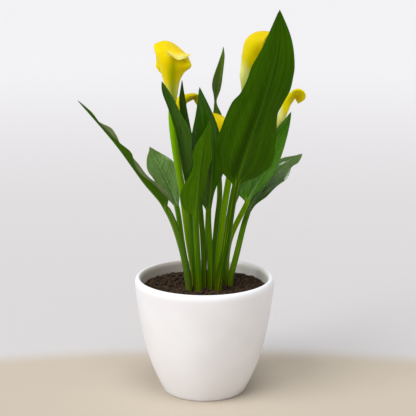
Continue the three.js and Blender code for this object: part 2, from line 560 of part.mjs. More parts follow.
// the spadix: a rounded club on top of the scape, its florets a raised chequer
function spadixGeometry(flower, sides, steps) {
  const line = tubeLine(flower);
  const [length, radius] = flower.spadix;
  const rings = [];
  for (let k = 0; k <= steps; k += 1) {
    const t = k / steps;
    const share = t ** 0.9;
    const round = Math.sqrt(Math.max(0.06, 1 - Math.max(0, (share - 0.8) / 0.2) ** 2));
    const body = radius * (0.72 + 0.28 * smooth(share / 0.35)) * round;
    const relief = k > 0 && k < steps ? 0.06 : 0;
    const distance = 0.2 + share * length;
    const size = (i) => body * (1 + ((i + k) % 2 === 0 ? relief : -relief));
    rings.push(ring(line.point(distance), line.along(distance), size, sides));
  }
  return ringSolid(rings);
}

// ---- pot, soil and tuber ------------------------------------------------------------------
function soilHeight(x, y) {
  const r = Math.hypot(x, y);
  const lumps = Math.sin(x * 0.31 + 1.3) * Math.cos(y * 0.27 - 0.4)
    + 0.6 * Math.sin(x * 0.17 - y * 0.23 + 2.1) + 0.4 * Math.cos(x * 0.43 + y * 0.39);
  const mound = 1.5 * Math.exp(-((r / 40) ** 2));
  return SOIL_TOP + mound + (SOIL_BUMP * lumps) / 2;
}

// radius of the pot's inner face at a height
function innerRadius(z) {
  const wall = POT_INNER.filter(([r]) => r > 0).map(([r, h]) => [h, r]).reverse();
  return linearAt(wall, z);
}

function soilBody(sectors) {
  const heights = [SOIL_TOP - 5, 118, 76, 53, 33, 16];
  const at = (radius, i, z) => {
    const a = (i / sectors) * Math.PI * 2;
    const x = radius * Math.cos(a);
    const y = radius * Math.sin(a);
    return new THREE.Vector3(x, y, z ?? soilHeight(x, y));
  };
  const loop = (radius, z) => Array.from({ length: sectors }, (_, i) => at(radius, i, z));
  const floor = POT_INNER[POT_INNER.length - 1][1] + GAP;
  const rings = [loop(44.5, floor)];
  heights.reverse().forEach((z) => rings.push(loop(innerRadius(z) - GAP * 1.3, z)));
  const edge = innerRadius(SOIL_TOP - 3) - GAP * 1.3;
  [edge, 64, 50, 36, 22, 8].forEach((radius) => rings.push(loop(radius)));
  return ringSolid(rings);
}

// ---- assembly -----------------------------------------------------------------------------
const wasm = await Module();
wasm.setup();

function toManifold(geometry) {
  const bare = geometry.clone();
  bare.deleteAttribute('normal');
  bare.deleteAttribute('uv');
  const merged = mergeVertices(bare, 1e-4);
  return new wasm.Manifold(new wasm.Mesh({
    numProp: 3,
    vertProperties: new Float32Array(merged.attributes.position.array),
    triVerts: new Uint32Array(merged.index.array),
  }));
}

function fromManifold(solid) {
  const mesh = solid.getMesh();
  const geometry = new THREE.BufferGeometry();
  geometry.setAttribute('position', new THREE.BufferAttribute(mesh.vertProperties, 3));
  geometry.setIndex(new THREE.BufferAttribute(mesh.triVerts, 1));
  return geometry;
}

// the hole that a stalk leaves in the soil
function stalkHole(points, radius) {
  const curve = stalkCurve(points);
  const rings = [];
  const length = curve.getLength();
  const below = new THREE.Vector3(points[0][0], points[0][1], FOOT - 1);
  rings.push(ring(below, up, radius, 8));
  [17, 25, 40].forEach((distance) => {
    const share = distance / length;
    rings.push(ring(curve.getPointAt(share), curve.getTangentAt(share), radius, 8));
  });
  return ringSolid(rings);
}

const plant = new THREE.Group();

function add(name, geometry, look) {
  const bare = geometry.clone();
  bare.deleteAttribute('normal');
  bare.deleteAttribute('uv');
  const merged = mergeVertices(bare, 1e-4);
  merged.computeVertexNormals();
  const mesh = new THREE.Mesh(merged, look);
  mesh.name = name;
  plant.add(mesh);
}

const looks = {
  pot: material(COLOURS.pot, 0.45),
  soil: material(COLOURS.soil, 0.95),
  tuber: material(COLOURS.tuber, 0.85),
  leaf: material(COLOURS.leaf, 0.4),
  scape: material(COLOURS.scape, 0.4),
  spathe: material(COLOURS.spathe, 0.45),
  spadix: material(COLOURS.spadix, 0.6),
};

let soil = toManifold(soilBody(32));
const cavity = TUBER.map(([r, z], i) => [r === 0 ? 0 : r + GAP, i < 3 ? z - GAP : z + GAP]);
soil = soil.subtract(toManifold(lathe(cavity, 28)));
Object.values(LEAVES).forEach((leaf) => {
  soil = soil.subtract(toManifold(stalkHole(leaf.path, leaf.stalk[0] + 4 * GAP)));
});
Object.values(FLOWERS).forEach((flower) => {
  const path = [...flower.stem, flower.base];
  soil = soil.subtract(toManifold(stalkHole(path, flower.scape[0] + 2 * GAP)));
});

add('pot', lathe([...POT_OUTER, ...POT_INNER], POT_SEGMENTS), looks.pot);
add('soil', fromManifold(soil), looks.soil);
add('tuber', lathe(TUBER, 28), looks.tuber);
Object.entries(LEAVES).forEach(([name, leaf]) => add(name, leafGeometry(leaf), looks.leaf));
Object.entries(FLOWERS).forEach(([name, flower]) => {
  add(`scape_${name}`, scapeGeometry(flower, 8, 11), looks.scape);
  add(`spathe_${name}`, spatheGeometry(flower, ...flower.grid), looks.spathe);
  add(`spadix_${name}`, spadixGeometry(flower, 8, 8), looks.spadix);
});

export default plant;
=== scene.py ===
"""Looks of a potted yellow calla lily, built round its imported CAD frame.

Every leaf and flower is a closed mesh made from the same centrelines and half widths, in
millimetres, as its CAD node, with finer rows, raised veins and thin rolled margins. The frame's
origin is the centre of the pot's flat base, +Z is up, and the photograph looks along +Y.
"""
import logging
import math
from collections.abc import Callable, Iterator
from dataclasses import dataclass, field
from enum import Enum
from itertools import combinations

import bpy
import numpy as np
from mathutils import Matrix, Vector


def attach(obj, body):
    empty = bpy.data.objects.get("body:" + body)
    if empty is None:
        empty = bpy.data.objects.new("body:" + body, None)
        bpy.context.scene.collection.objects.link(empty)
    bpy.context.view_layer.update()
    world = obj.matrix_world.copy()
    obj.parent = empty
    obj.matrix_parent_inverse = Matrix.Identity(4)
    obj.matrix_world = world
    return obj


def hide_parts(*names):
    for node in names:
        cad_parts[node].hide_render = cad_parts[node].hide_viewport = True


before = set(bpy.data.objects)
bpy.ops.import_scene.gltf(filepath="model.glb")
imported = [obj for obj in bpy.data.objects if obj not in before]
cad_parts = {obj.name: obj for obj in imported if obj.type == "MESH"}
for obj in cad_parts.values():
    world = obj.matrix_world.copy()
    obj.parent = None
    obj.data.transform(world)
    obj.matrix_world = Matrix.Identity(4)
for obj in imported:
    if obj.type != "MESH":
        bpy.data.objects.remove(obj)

LOG = logging.getLogger("calla")
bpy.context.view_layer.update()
MM = 0.001
SOIL_TOP = 129.0  # mm
FOOT = 105.0  # mm, where the stalks start
PICTURE = 416  # pixels
Array = np.ndarray
Table = tuple[tuple[float, ...], ...]


# ---- curves and small numbers -------------------------------------------------------------
def smooth(x: Array | float) -> Array | float:
    """Smoothstep of x, held at 0 and 1 outside the unit range."""
    x = np.clip(x, 0.0, 1.0)
    return x * x * (3.0 - 2.0 * x)


def unit(v: Array) -> Array:
    """Vectors scaled to length 1 along their last axis."""
    return v / np.maximum(np.linalg.norm(v, axis=-1, keepdims=True), 1e-9)


def bundle(*values: Array | float) -> Array:
    """Values broadcast together and stacked on a last axis."""
    return np.stack(np.broadcast_arrays(*values), -1)


def around(count: int) -> Array:
    """Angles spread evenly round a circle, in radians."""
    return np.linspace(0, 2 * math.pi, count, endpoint=False)


def circle(radius: Array | float, height: Array | float, turn: Array) -> Array:
    """Points round the pot's axis at angles turn."""
    return bundle(radius * np.cos(turn), radius * np.sin(turn), height)


def direction(azimuth: Array | float, elevation: float) -> Array:
    """Unit vectors from an angle from +X toward +Y and one above the horizon, in degrees."""
    a, e = np.radians(azimuth), np.radians(elevation)
    return bundle(np.cos(e) * np.cos(a), np.cos(e) * np.sin(a), np.sin(e))


def across(v: Array, axis: Array) -> Array:
    """Vectors v with their part along axis taken out, at length 1."""
    return unit(v - (v * axis).sum(-1, keepdims=True) * axis)


def grid_normals(grid: Array) -> Array:
    """Unit normals of a grid of points, (column to column) x (row to row)."""
    return unit(np.cross(np.gradient(grid, axis=1), np.gradient(grid, axis=0)))


def read(at: Array, values: Array, x: Array) -> Array:
    """Rows of values kept at rising positions, read between them at x."""
    return np.stack([np.interp(x, at, v) for v in values.T], -1)


def hermite(rows: Table, x: Array) -> Array:
    """Smooth values of a table.

    Args:
        rows: the table, its first column the rising positions.
        x: where to read it.
    Returns:
        The values of its other columns, a row for each x.
    """
    table = np.asarray(rows, float)
    at, value = table[:, :1], table[:, 1:]
    slope = np.empty_like(value)
    slope[1:-1] = (value[2:] - value[:-2]) / (at[2:] - at[:-2])
    slope[0] = (value[1] - value[0]) / (at[1] - at[0])
    slope[-1] = (value[-1] - value[-2]) / (at[-1] - at[-2])
    k = np.clip(np.searchsorted(at[:, 0], x, side="right") - 1, 0, len(at) - 2)
    h = at[k + 1] - at[k]
    t = np.clip((x[:, None] - at[k]) / h, 0, 1)
    return ((1 + 2 * t) * (1 - t) ** 2 * value[k] + t * (1 - t) ** 2 * h * slope[k]
            + t * t * (3 - 2 * t) * value[k + 1] + t * t * (t - 1) * h * slope[k + 1])


class Curve:
    """Centripetal Catmull-Rom curve through points, read by share of its length."""

    STEPS = 60

    def __init__(self, points: Array | Table) -> None:
        """Samples the curve.

        Args:
            points: what it passes through, of any dimension.
        """
        p = np.asarray(points, float)
        ends = np.vstack([2 * p[0] - p[1], p, 2 * p[-1] - p[-2]])
        t = np.linspace(0, 1, self.STEPS, endpoint=False)[:, None]
        runs = []
        for p0, p1, p2, p3 in zip(ends, ends[1:], ends[2:], ends[3:]):
            d0, d1, d2 = (max(float(np.linalg.norm(d)) ** 0.5, 1e-4)
                          for d in (p1 - p0, p2 - p1, p3 - p2))
            m1 = ((p1 - p0) / d0 - (p2 - p0) / (d0 + d1) + (p2 - p1) / d1) * d1
            m2 = ((p2 - p1) / d1 - (p3 - p1) / (d1 + d2) + (p3 - p2) / d2) * d1
            runs.append(p1 + m1 * t + (-3 * p1 + 3 * p2 - 2 * m1 - m2) * t ** 2
                        + (2 * p1 - 2 * p2 + m1 + m2) * t ** 3)
        self.points = np.vstack([*runs, p[-1:]])
        steps = np.linalg.norm(np.diff(self.points, axis=0), axis=1)
        self.length = float(steps.sum())
        self.share = np.concatenate([[0], np.cumsum(steps)]) / self.length
        self.slope = unit(np.gradient(self.points, self.share, axis=0))

    def at(self, share: Array) -> Array:
        """Points at shares of the length."""
        return read(self.share, self.points, share)

    def along(self, share: Array) -> Array:
        """Unit tangents at shares of the length."""
        return unit(read(self.share, self.slope, share))

    def share_of(self, index: int) -> float:
        """Share of the length at one of the points that the curve was made through."""
        return float(self.share[index * self.STEPS])


def stalk_curve(path: Table) -> Curve:
    """Centreline of a stalk: straight up out of the soil, then through its points.

    Args:
        path: where it leaves the soil, as x and y, then its points.
    Returns:
        The curve.
    """
    x, y = path[0][:2]
    middle = (FOOT + path[1][2]) / 2
    return Curve([(x, y, FOOT), (x, y, middle), *path[1:]])


def ringed(centre: Array, along: Array, radius: Array, turn: Array) -> Array:
    """Rings of points round a centreline.

    Args:
        centre: its points, one a ring.
        along: its unit tangents.
        radius: the radii, rings by points.
        turn: the angle of each point of a ring.
    Returns:
        The points, rings by points.
    """
    u = across(np.array([0.02, 1.0, 0.0]) + 0 * along, along)
    v = np.cross(along, u)
    return (centre[:, None] + u[:, None] * (radius * np.cos(turn))[..., None]
            + v[:, None] * (radius * np.sin(turn))[..., None])


# ---- meshes -------------------------------------------------------------------------------
class Slot(Enum):
    """Names for the material slots of the pieces made here."""

    POT = "pot"
    SOIL = "soil"
    LEAF = "leaf"
    SCAPE = "scape"
    SPATHE = "spathe"
    SPADIX = "spadix"


def add(name: str, data: bpy.types.ID) -> bpy.types.Object:
    """Adds an object to the scene.

    Args:
        name: its name.
        data: its mesh, lamp or camera.
    Returns:
        The object.
    """
    made = bpy.data.objects.new(name, data)
    bpy.context.scene.collection.objects.link(made)
    return made


def add_mesh(name: str, points: Array, faces: list[list[int]]) -> bpy.types.Object:
    """Adds a mesh object to the scene.

    Args:
        name: its name.
        points: its points in metres.
        faces: the points of each face.
    Returns:
        The object.
    """
    mesh = bpy.data.meshes.new(name)
    mesh.from_pydata(points.tolist(), [], faces)
    return add(name, mesh)


@dataclass
class Skin:
    """A closed mesh in the making, from rings of points in millimetres.

    Neighbouring rings are joined by quads and the first and last ring are closed by a fan. A
    ring's points run so that (point to point) x (ring to ring) points out of the body.
    """

    rings: Array
    marks: dict[str, Array] = field(default_factory=dict)
    weld: float = 2e-6

    def faces(self) -> list[list[int]]:
        """Works out the quads between the rings, then the two end fans round their hubs.

        Returns:
            The points of each face.
        """
        rows, n = self.rings.shape[:2]
        here = np.arange(rows * n).reshape(rows, n)
        after = np.roll(here, -1, axis=1)
        hub = np.full(n, rows * n)
        parts = (np.stack([here[:-1], after[:-1], after[1:], here[1:]], -1).reshape(-1, 4),
                 np.stack([hub, after[0], here[0]], -1),
                 np.stack([hub + 1, here[-1], after[-1]], -1))
        return [corners for part in parts for corners in part.tolist()]

    @staticmethod
    def flat(values: Array) -> Array:
        """Ring values as a list of points, with the two hubs at its end."""
        hubs = np.stack([values[0].mean(0), values[-1].mean(0)])
        return np.vstack([values.reshape(-1, 3), hubs])

    def build(self, name: str) -> bpy.types.Object:
        """Makes the Blender object.

        Args:
            name: the piece's name.
        Returns:
            The object, linked to the scene, in metres.
        """
        made = add_mesh(name, self.flat(self.rings) * MM, self.faces())
        for label, values in self.marks.items():
            mark = made.data.attributes.new(label, "FLOAT_VECTOR", "POINT")
            mark.data.foreach_set("vector", self.flat(values).astype(np.float32).ravel())
        made.data.validate()
        made.data.shade_smooth()
        made.modifiers.new("weld", "WELD").merge_threshold = self.weld
        return made


def settle(piece: bpy.types.Object, slot: Slot, look: bpy.types.Material, *nodes: str) -> None:
    """Dresses a piece, lets it ride on the root and stand for its CAD nodes.

    Args:
        piece: the Blender object.
        slot: not used.
        look: its material.
        nodes: the CAD nodes that it replaces.
    """
    piece.data.materials.append(look)
    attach(piece, "root")
    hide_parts(*nodes)
    LOG.info("%s: %d faces, stands for %s", piece.name, len(piece.data.polygons), ", ".join(nodes))


# ---- shader maths -------------------------------------------------------------------------
class Flow:
    """A socket's value in a shader. Arithmetic on it adds Math nodes."""

    def __init__(self, paint: "Paint", socket: bpy.types.NodeSocket | None) -> None:
        """Wraps an output socket of a node in paint."""
        self.paint = paint
        self.socket = socket

    def work_out(self, operation: str, *values: "Flow | float") -> "Flow":
        """A Math node's result for some inputs."""
        return self.paint.node("ShaderNodeMath", {"operation": operation}, dict(enumerate(values)))

    @staticmethod
    def operator(operation: str, reflected: bool = False) -> "Callable[..., Flow]":
        """A method that adds a Math node for an arithmetic sign.

        Args:
            operation: the node's operation.
            reflected: whether the other value comes first.
        Returns:
            The method.
        """
        def method(self: "Flow", other: "Flow | float") -> "Flow":
            """The operation on self and another value."""
            return self.work_out(operation, *((other, self) if reflected else (self, other)))
        return method

    __add__, __radd__ = operator("ADD"), operator("ADD", True)
    __sub__, __rsub__ = operator("SUBTRACT"), operator("SUBTRACT", True)
    __mul__, __rmul__ = operator("MULTIPLY"), operator("MULTIPLY", True)
    __pow__, __rpow__ = operator("POWER"), operator("POWER", True)

    def __abs__(self) -> "Flow":
        """Size of self without its sign."""
        return self.work_out("ABSOLUTE", self)

    def clamp(self) -> "Flow":
        """self held between 0 and 1."""
        return self.paint.node("ShaderNodeClamp", {}, {0: self})

    def step(self, low: float, high: float) -> "Flow":
        """0 at low, 1 at high, smooth between them. high may lie below low."""
        return self.paint.node("ShaderNodeMapRange", {"interpolation_type": "SMOOTHSTEP"},
                               {0: self, 1: low, 2: high, 3: 0.0, 4: 1.0})

    def bell(self, width: float) -> "Flow":
        """1 where self is 0, falling off smoothly on both sides over width."""
        return abs(self).step(width, 0.0)

    def ridges(self, sharp: float) -> "Flow":
        """A line at each whole number of self, narrower as sharp grows."""
        wave = self.work_out("COSINE", self * (2 * math.pi))
        return (wave * 0.5 + 0.5) ** sharp


class Paint:
    """Node tree of one material in the making."""

    def __init__(self, name: str) -> None:
        """Starts an empty node material.

        Args:
            name: its name.
        """
        self.material = bpy.data.materials.new(name)
        self.material.use_nodes = True
        self.tree = self.material.node_tree
        self.tree.nodes.clear()

    def node(self, kind: str, settings: dict[str, str], sockets: dict[str | int, object],
             out: str | int = 0) -> Flow:
        """Adds one node.

        Args:
            kind: the node's type.
            settings: its own settings, set before its sockets.
            sockets: values or flows for its input sockets.
            out: the output to hand back, where it has one.
        Returns:
            The output.
        """
        made = self.tree.nodes.new(kind)
        for key, value in settings.items():
            setattr(made, key, value)
        for key, value in sockets.items():
            if isinstance(value, Flow):
                self.tree.links.new(value.socket, made.inputs[key])
            else:
                made.inputs[key].default_value = value
        return Flow(self, made.outputs[out] if made.outputs else None)

    def split(self, vector: Flow) -> tuple[Flow, Flow, Flow]:
        """The three numbers of a vector."""
        return tuple(self.node("ShaderNodeSeparateXYZ", {}, {0: vector}, k) for k in range(3))

    def mark(self, name: str) -> tuple[Flow, Flow, Flow]:
        """The three numbers that a mesh keeps at each point under a name."""
        return self.split(self.node("ShaderNodeAttribute", {"attribute_name": name}, {}, "Vector"))

    def place(self) -> Flow:
        """Position in the object's own coordinates, in metres."""
        return self.node("ShaderNodeTexCoord", {}, {}, "Object")

    def noise(self, scale: float, detail: float, vector: Flow | None = None) -> Flow:
        """Noise from 0 to 1.

        Args:
            scale: lumps per metre, or per unit of vector.
            detail: how many finer octaves it has.
            vector: where to read it, in place of the position.
        Returns:
            The noise.
        """
        return self.node("ShaderNodeTexNoise", {}, {
            "Vector": vector or self.place(), "Scale": scale, "Detail": detail, "Roughness": 0.55})

    def streaks(self, detail: float, *place: Flow | float) -> Flow:
        """Noise read at a place of three numbers, drawn out along the slower ones."""
        vector = self.node("ShaderNodeCombineXYZ", {}, dict(enumerate(place)))
        return self.noise(1.0, detail, vector)

    def mix(self, share: Flow | float, a: "Flow | Colour", b: "Flow | Colour") -> Flow:
        """Colour a turned into colour b by a share."""
        return self.node("ShaderNodeMix", {"data_type": "RGBA"}, {0: share, 6: a, 7: b}, 2)

    def bump(self, height: Flow, distance: float, strength: float) -> Flow:
        """A normal from a height map.

        Args:
            height: the height, in shares of distance.
            distance: height of one unit, in metres.
            strength: how much of it is used.
        Returns:
            The normal.
        """
        return self.node("ShaderNodeBump", {}, {
            "Height": height, "Distance": distance, "Strength": strength})

    def finish(self, **sockets: object) -> bpy.types.Material:
        """Ends the tree with a Principled shader.

        Args:
            sockets: its inputs, with _ in place of each space.
        Returns:
            The material.
        """
        named = {key.replace("_", " "): value for key, value in sockets.items()}
        shader = self.node("ShaderNodeBsdfPrincipled", {}, named)
        self.node("ShaderNodeOutputMaterial", {}, {"Surface": shader})
        return self.material


Colour = tuple[float, float, float, float]


def srgb(red: float, green: float, blue: float) -> Colour:
    """A shader colour from screen values.

    Args:
        red: from 0 to 255, as the two others.
        green: its green.
        blue: its blue.
    Returns:
        The colour as light, with full alpha.
    """
    def linear(c: float) -> float:
        """One channel as light."""
        c /= 255
        return c / 12.92 if c <= 0.04045 else ((c + 0.055) / 1.055) ** 2.4
    return linear(red), linear(green), linear(blue), 1.0


# ---- finishes -----------------------------------------------------------------------------
@dataclass(frozen=True)
class PotFinish:
    """Satin white glazed ceramic, its inner wall with painted shade on the left and painted light
    on the right. Places are in metres.
    """

    glaze: Colour = srgb(246, 247, 253)
    shade: Colour = srgb(241, 241, 246)
    inside: Colour = srgb(212, 203, 196)
    inside_painted_light: Colour = srgb(250, 246, 242)
    wall_height: tuple[float, float] = (0.118, 0.126)
    wall_radius: tuple[float, float] = (0.0808, 0.0786)
    lit: tuple[float, float] = (-0.02, 0.06)
    roughness: float = 0.38

    def make(self) -> bpy.types.Material:
        """Makes the glaze, with a lining inside the mouth.

        Returns:
            The material.
        """
        paint = Paint("pot_satin_white")
        cloud = paint.noise(14.0, 2.0)
        grain = paint.noise(900.0, 2.0)
        x, y, z = paint.split(paint.place())
        within = z.step(*self.wall_height) * ((x * x + y * y) ** 0.5).step(*self.wall_radius)
        outside = paint.mix(cloud.step(0.35, 0.7), self.glaze, self.shade)
        # painted shade and light: the lining darker on the left and lighter on the right, as if lit
        # from the left
        lining = paint.mix(x.step(*self.lit), self.inside, self.inside_painted_light)
        return paint.finish(
            Base_Color=paint.mix(within, outside, lining),
            Roughness=grain * 0.08 + self.roughness,
            Normal=paint.bump(cloud * 0.8 + grain * 0.2, 0.0004, 0.25),
            Coat_Weight=0.15, Coat_Roughness=0.25)


@dataclass(frozen=True)
class SoilFinish:
    """Dark crumbly potting compost."""

    dark: Colour = srgb(30, 22, 13)
    brown: Colour = srgb(76, 57, 38)
    fibre: Colour = srgb(112, 88, 62)

    def make(self) -> bpy.types.Material:
        """Makes the compost, with pale fibres.

        Returns:
            The material.
        """
        paint = Paint("potting_soil")
        grain = paint.noise(420.0, 5.0)
        lumps = paint.noise(130.0, 3.0)
        flecks = paint.noise(1500.0, 2.0).step(0.66, 0.74)
        base = paint.mix((grain * 0.6 + lumps * 0.4).step(0.36, 0.66), self.dark, self.brown)
        return paint.finish(
            Base_Color=paint.mix(flecks * 0.5, base, self.fibre),
            Roughness=0.92, Specular_IOR_Level=0.25,
            Normal=paint.bump(grain, 0.0012, 0.8))


@dataclass(frozen=True)
class TuberFinish:
    """Brown papery skin of the tuber."""

    skin: Colour = srgb(120, 86, 54)
    ring: Colour = srgb(82, 56, 34)

    def make(self) -> bpy.types.Material:
        """Makes the skin, with rings round it.

        Returns:
            The material.
        """
        paint = Paint("tuber_skin")
        _, _, height = paint.split(paint.place())
        rings = (height * 260.0).ridges(3.0)
        rough = paint.noise(160.0, 4.0)
        return paint.finish(
            Base_Color=paint.mix((rings * 0.6 + rough * 0.5).clamp(), self.skin, self.ring),
            Roughness=0.8, Normal=paint.bump(rough, 0.001, 0.6))


@dataclass(frozen=True)
class LeafFinish:
    """Waxy calla leaf: glossy above, duller below, with arching side veins.

    coat is the wax's roughness and refractive index, and veins the side veins to a side.
    """

    name: str
    upper: Colour = srgb(52, 96, 2)
    upper_deep: Colour = srgb(24, 58, 1)
    under: Colour = srgb(56, 96, 1)
    under_deep: Colour = srgb(34, 66, 1)
    midrib: Colour = srgb(92, 132, 12)
    # dark is the colour of the painted shadow beside the midrib
    dark: Colour = srgb(18, 42, 1)
    stalk: Colour = srgb(66, 108, 0)
    # stalk_highlight is the colour of light streaks painted on the stalk as highlights
    stalk_highlight: Colour = srgb(136, 172, 4)
    stalk_foot: Colour = srgb(84, 86, 8)
    vein: float = 0.1
    rib: float = 0.5
    rib_top: Colour = srgb(60, 100, 4)
    rib_width: float = 2.2
    painted_rib_shadow: float = 0.0
    wax: float = 0.5
    sheen: float = 0.05
    coat: tuple[float, float] = (0.22, 1.5)
    roughness: float = 0.25
    veins: float = 42.0

    def make(self) -> bpy.types.Material:
        """The material.

        The mesh keeps three marks at each point. leaf_place is the place across the blade, the
        share along it and the face, 1 above and -1 below. leaf_size is the distance from the
        midrib, the height, both in mm, and how far the stalk has become blade. leaf_vein is the
        place on the side veins.

        Returns:
            The material.
        """
        paint = Paint(self.name)
        u, t, face = paint.mark("leaf_place")
        s, height, blade = paint.mark("leaf_size")
        lane, _, _ = paint.mark("leaf_vein")
        above = face.step(-0.4, 0.4)
        fade = t.step(1.0, 0.35)
        coarse = (lane * self.veins).ridges(6.0)
        fine = (lane * (self.veins * 4.0)).ridges(3.0)
        streak = paint.streaks(3.0, lane * (self.veins * 1.3), u * 1.5, face)
        grain = paint.streaks(3.0, u * 7.0, t * 1.6, face)
        cloud = paint.noise(28.0, 3.0)
        tone = (streak * 0.35 + grain * 0.7 + cloud * 0.2).step(0.42, 0.84)
        flesh = paint.mix(above, paint.mix(tone, self.under_deep, self.under),
                          paint.mix(tone, self.upper_deep, self.upper))
        # painted shadow: a dark band along one side of the midrib, fading toward the tip
        painted_rib_shadow = ((s - 6.0).bell(11.0) * fade * self.painted_rib_shadow).clamp()
        flesh = paint.mix(painted_rib_shadow * 0.85, flesh, self.dark)
        veins = (coarse * (streak * 1.4) + fine * 0.4) * (fade * self.vein) * (1.0 - painted_rib_shadow * 0.8)
        flesh = paint.mix(veins, flesh, self.midrib)
        rib = s.bell(self.rib_width) * t.step(1.0, 0.6) * self.rib
        flesh = paint.mix(rib.clamp(), flesh,
                          paint.mix(t.step(0.12, 0.42), self.midrib, self.rib_top))
        lines = paint.streaks(2.0, u * 9.0, height * 0.012, face)
        light = paint.streaks(2.0, u * 5.0 + 7.0, height * 0.009, face)
        foot = height.step(SOIL_TOP + 34.0, SOIL_TOP - 4.0)
        stem = paint.mix(foot * 0.75, self.stalk, self.stalk_foot)
        stem = paint.mix(lines.step(0.35, 0.75) * 0.5, stem, self.upper_deep)
        # painted highlights: light lengthwise streaks on the stalk
        stem = paint.mix(light.step(0.5, 0.68) * 0.55, stem, self.stalk_highlight)
        relief = (coarse * 0.5 + fine * 0.2 + streak * 0.8) * blade + lines * (1.0 - blade) * 0.5
        return paint.finish(
            Base_Color=paint.mix(blade.step(0.15, 0.9), stem, flesh),
            Roughness=(1.0 - above) * 0.16 + cloud * 0.1 + self.roughness,
            Normal=paint.bump(relief, 0.00022, 0.8),
            Coat_Weight=(above * blade * (streak.step(0.3, 0.7) * self.wax + self.sheen)).clamp(),
            Coat_Roughness=self.coat[0], Coat_IOR=self.coat[1],
            Specular_IOR_Level=0.2, Specular_Tint=(0.6, 1.0, 0.1, 1.0),
            Subsurface_Weight=0.1, Subsurface_Radius=(0.4, 1.0, 0.05), Subsurface_Scale=0.0015)


@dataclass(frozen=True)
class ScapeFinish:
    """Smooth flower stalk, lighter toward the flower and olive at the foot."""

    light: Colour = srgb(118, 172, 0)
    green: Colour = srgb(108, 152, 0)
    shade: Colour = srgb(62, 110, 0)
    foot: Colour = srgb(122, 122, 8)

    def make(self) -> bpy.types.Material:
        """Makes the finish. The mesh keeps turn, share and height in mm at each point.

        Returns:
            The material.
        """
        paint = Paint("flower_stalk")
        turn, share, height = paint.mark("stem_place")
        lines = paint.streaks(3.0, turn * 26.0, height * 0.01, 0.0)
        cloud = paint.noise(60.0, 2.0)
        body = paint.mix(share.step(0.35, 1.0), self.green, self.light)
        body = paint.mix(lines.step(0.42, 0.8) * 0.4, body, self.shade)
        foot = height.step(SOIL_TOP + 38.0, SOIL_TOP - 2.0)
        return paint.finish(
            Base_Color=paint.mix(foot * 0.8, body, self.foot),
            Roughness=cloud * 0.12 + 0.32, Normal=paint.bump(lines, 0.0002, 0.6),
            Specular_IOR_Level=0.2, Specular_Tint=(0.8, 1.0, 0.1, 1.0),
            Subsurface_Weight=0.2, Subsurface_Radius=(0.6, 1.0, 0.05), Subsurface_Scale=0.002)


@dataclass(frozen=True)
class SpatheFinish:
    """Yellow spathe, green at its foot and along the midrib outside, golden inside.

    lip is the strength, turn and width of the painted highlight on the turned lip and of the
    painted shade in the crease under it. streak is the green midrib.
    """

    name: str
    yellow: Colour = srgb(243, 220, 0)
    warm: Colour = srgb(236, 202, 0)
    inside: Colour = srgb(200, 170, 0)
    pale: Colour = srgb(226, 228, 110)
    green: Colour = srgb(128, 150, 14)
    painted_lip_highlight: Colour = srgb(252, 242, 130)
    # gold is the colour of the painted shade on the top of the hood
    gold: Colour = srgb(208, 180, 0)
    streak: float = 0.1
    streak_width: float = 0.16
    streak_turn: float = 0.0
    foot: float = 0.2
    lip: tuple[float, float, float] = (0.0, 0.0, 0.3)
    tip: float = 0.0
    painted_hood_shade: float = 0.0

    def make(self) -> bpy.types.Material:
        """Makes the finish. The mesh keeps turn from the tip, share and face at each point.

        Returns:
            The material.
        """
        paint = Paint(self.name)
        turn, share, face = paint.mark("spathe_place")
        outer = face.step(-0.3, 0.3)
        veins = paint.streaks(3.0, turn * 30.0, share * 1.1, face)
        cloud = paint.noise(45.0, 2.0)
        petal = paint.mix((veins * 0.5 + cloud * 0.6).step(0.35, 0.8), self.warm, self.yellow)
        lining = paint.mix(cloud.step(0.3, 0.7) * 0.3, self.inside, self.yellow)
        petal = paint.mix(outer, lining, petal)
        # painted shade: the top of the hood darkened to gold
        petal = paint.mix((share.step(0.62, 0.95) * self.painted_hood_shade).clamp(), petal, self.gold)
        petal = paint.mix((share.step(0.8, 0.97) * self.tip).clamp(), petal, self.green)
        rim, place, width = self.lip
        near = (turn - place).bell(width)
        # painted shade: the crease under the turned lip darkened toward green
        fold = (turn - place).bell(width * 0.5) * outer * (share - 0.85).bell(0.045)
        petal = paint.mix((fold * rim * 0.8).clamp(), petal, self.green)
        # painted highlight: a cream band along the turned lip
        petal = paint.mix((share.step(0.885, 0.94) * near * rim).clamp(), petal, self.painted_lip_highlight)
        rise = share + veins * 0.16
        petal = paint.mix(rise.step(self.foot + 0.24, self.foot), petal, self.pale)
        rib = (turn - self.streak_turn).bell(self.streak_width) * share.step(1.0, 0.6)
        petal = paint.mix((rib * outer * self.streak).clamp(), petal, self.green)
        foot = rise.step(self.foot * 0.75 + 0.1, 0.03)
        return paint.finish(
            Base_Color=paint.mix(foot * 0.9, petal, self.green),
            Roughness=cloud * 0.12 + 0.36, Normal=paint.bump(veins, 0.00018, 0.55),
            Specular_IOR_Level=0.25, Specular_Tint=(1.0, 0.9, 0.1, 1.0),
            Subsurface_Weight=0.3, Subsurface_Radius=(1.0, 0.8, 0.05), Subsurface_Scale=0.003)


@dataclass(frozen=True)
class SpadixFinish:
    """Golden spadix covered with tiny florets."""

    gold: Colour = srgb(236, 178, 20)
    gap: Colour = srgb(170, 120, 12)

    def make(self) -> bpy.types.Material:
        """Makes the finish. The mesh keeps turn, share and floret height at each point.

        Returns:
            The material.
        """
        paint = Paint("spadix_florets")
        _, _, floret = paint.mark("spadix_place")
        dust = paint.noise(2600.0, 2.0)
        return paint.finish(
            Base_Color=paint.mix(floret.step(0.1, 0.6), self.gap, self.gold),
            Roughness=dust * 0.15 + 0.6, Normal=paint.bump(dust, 0.0001, 0.6),
            Subsurface_Weight=0.2, Subsurface_Radius=(1.0, 0.7, 0.1), Subsurface_Scale=0.002)


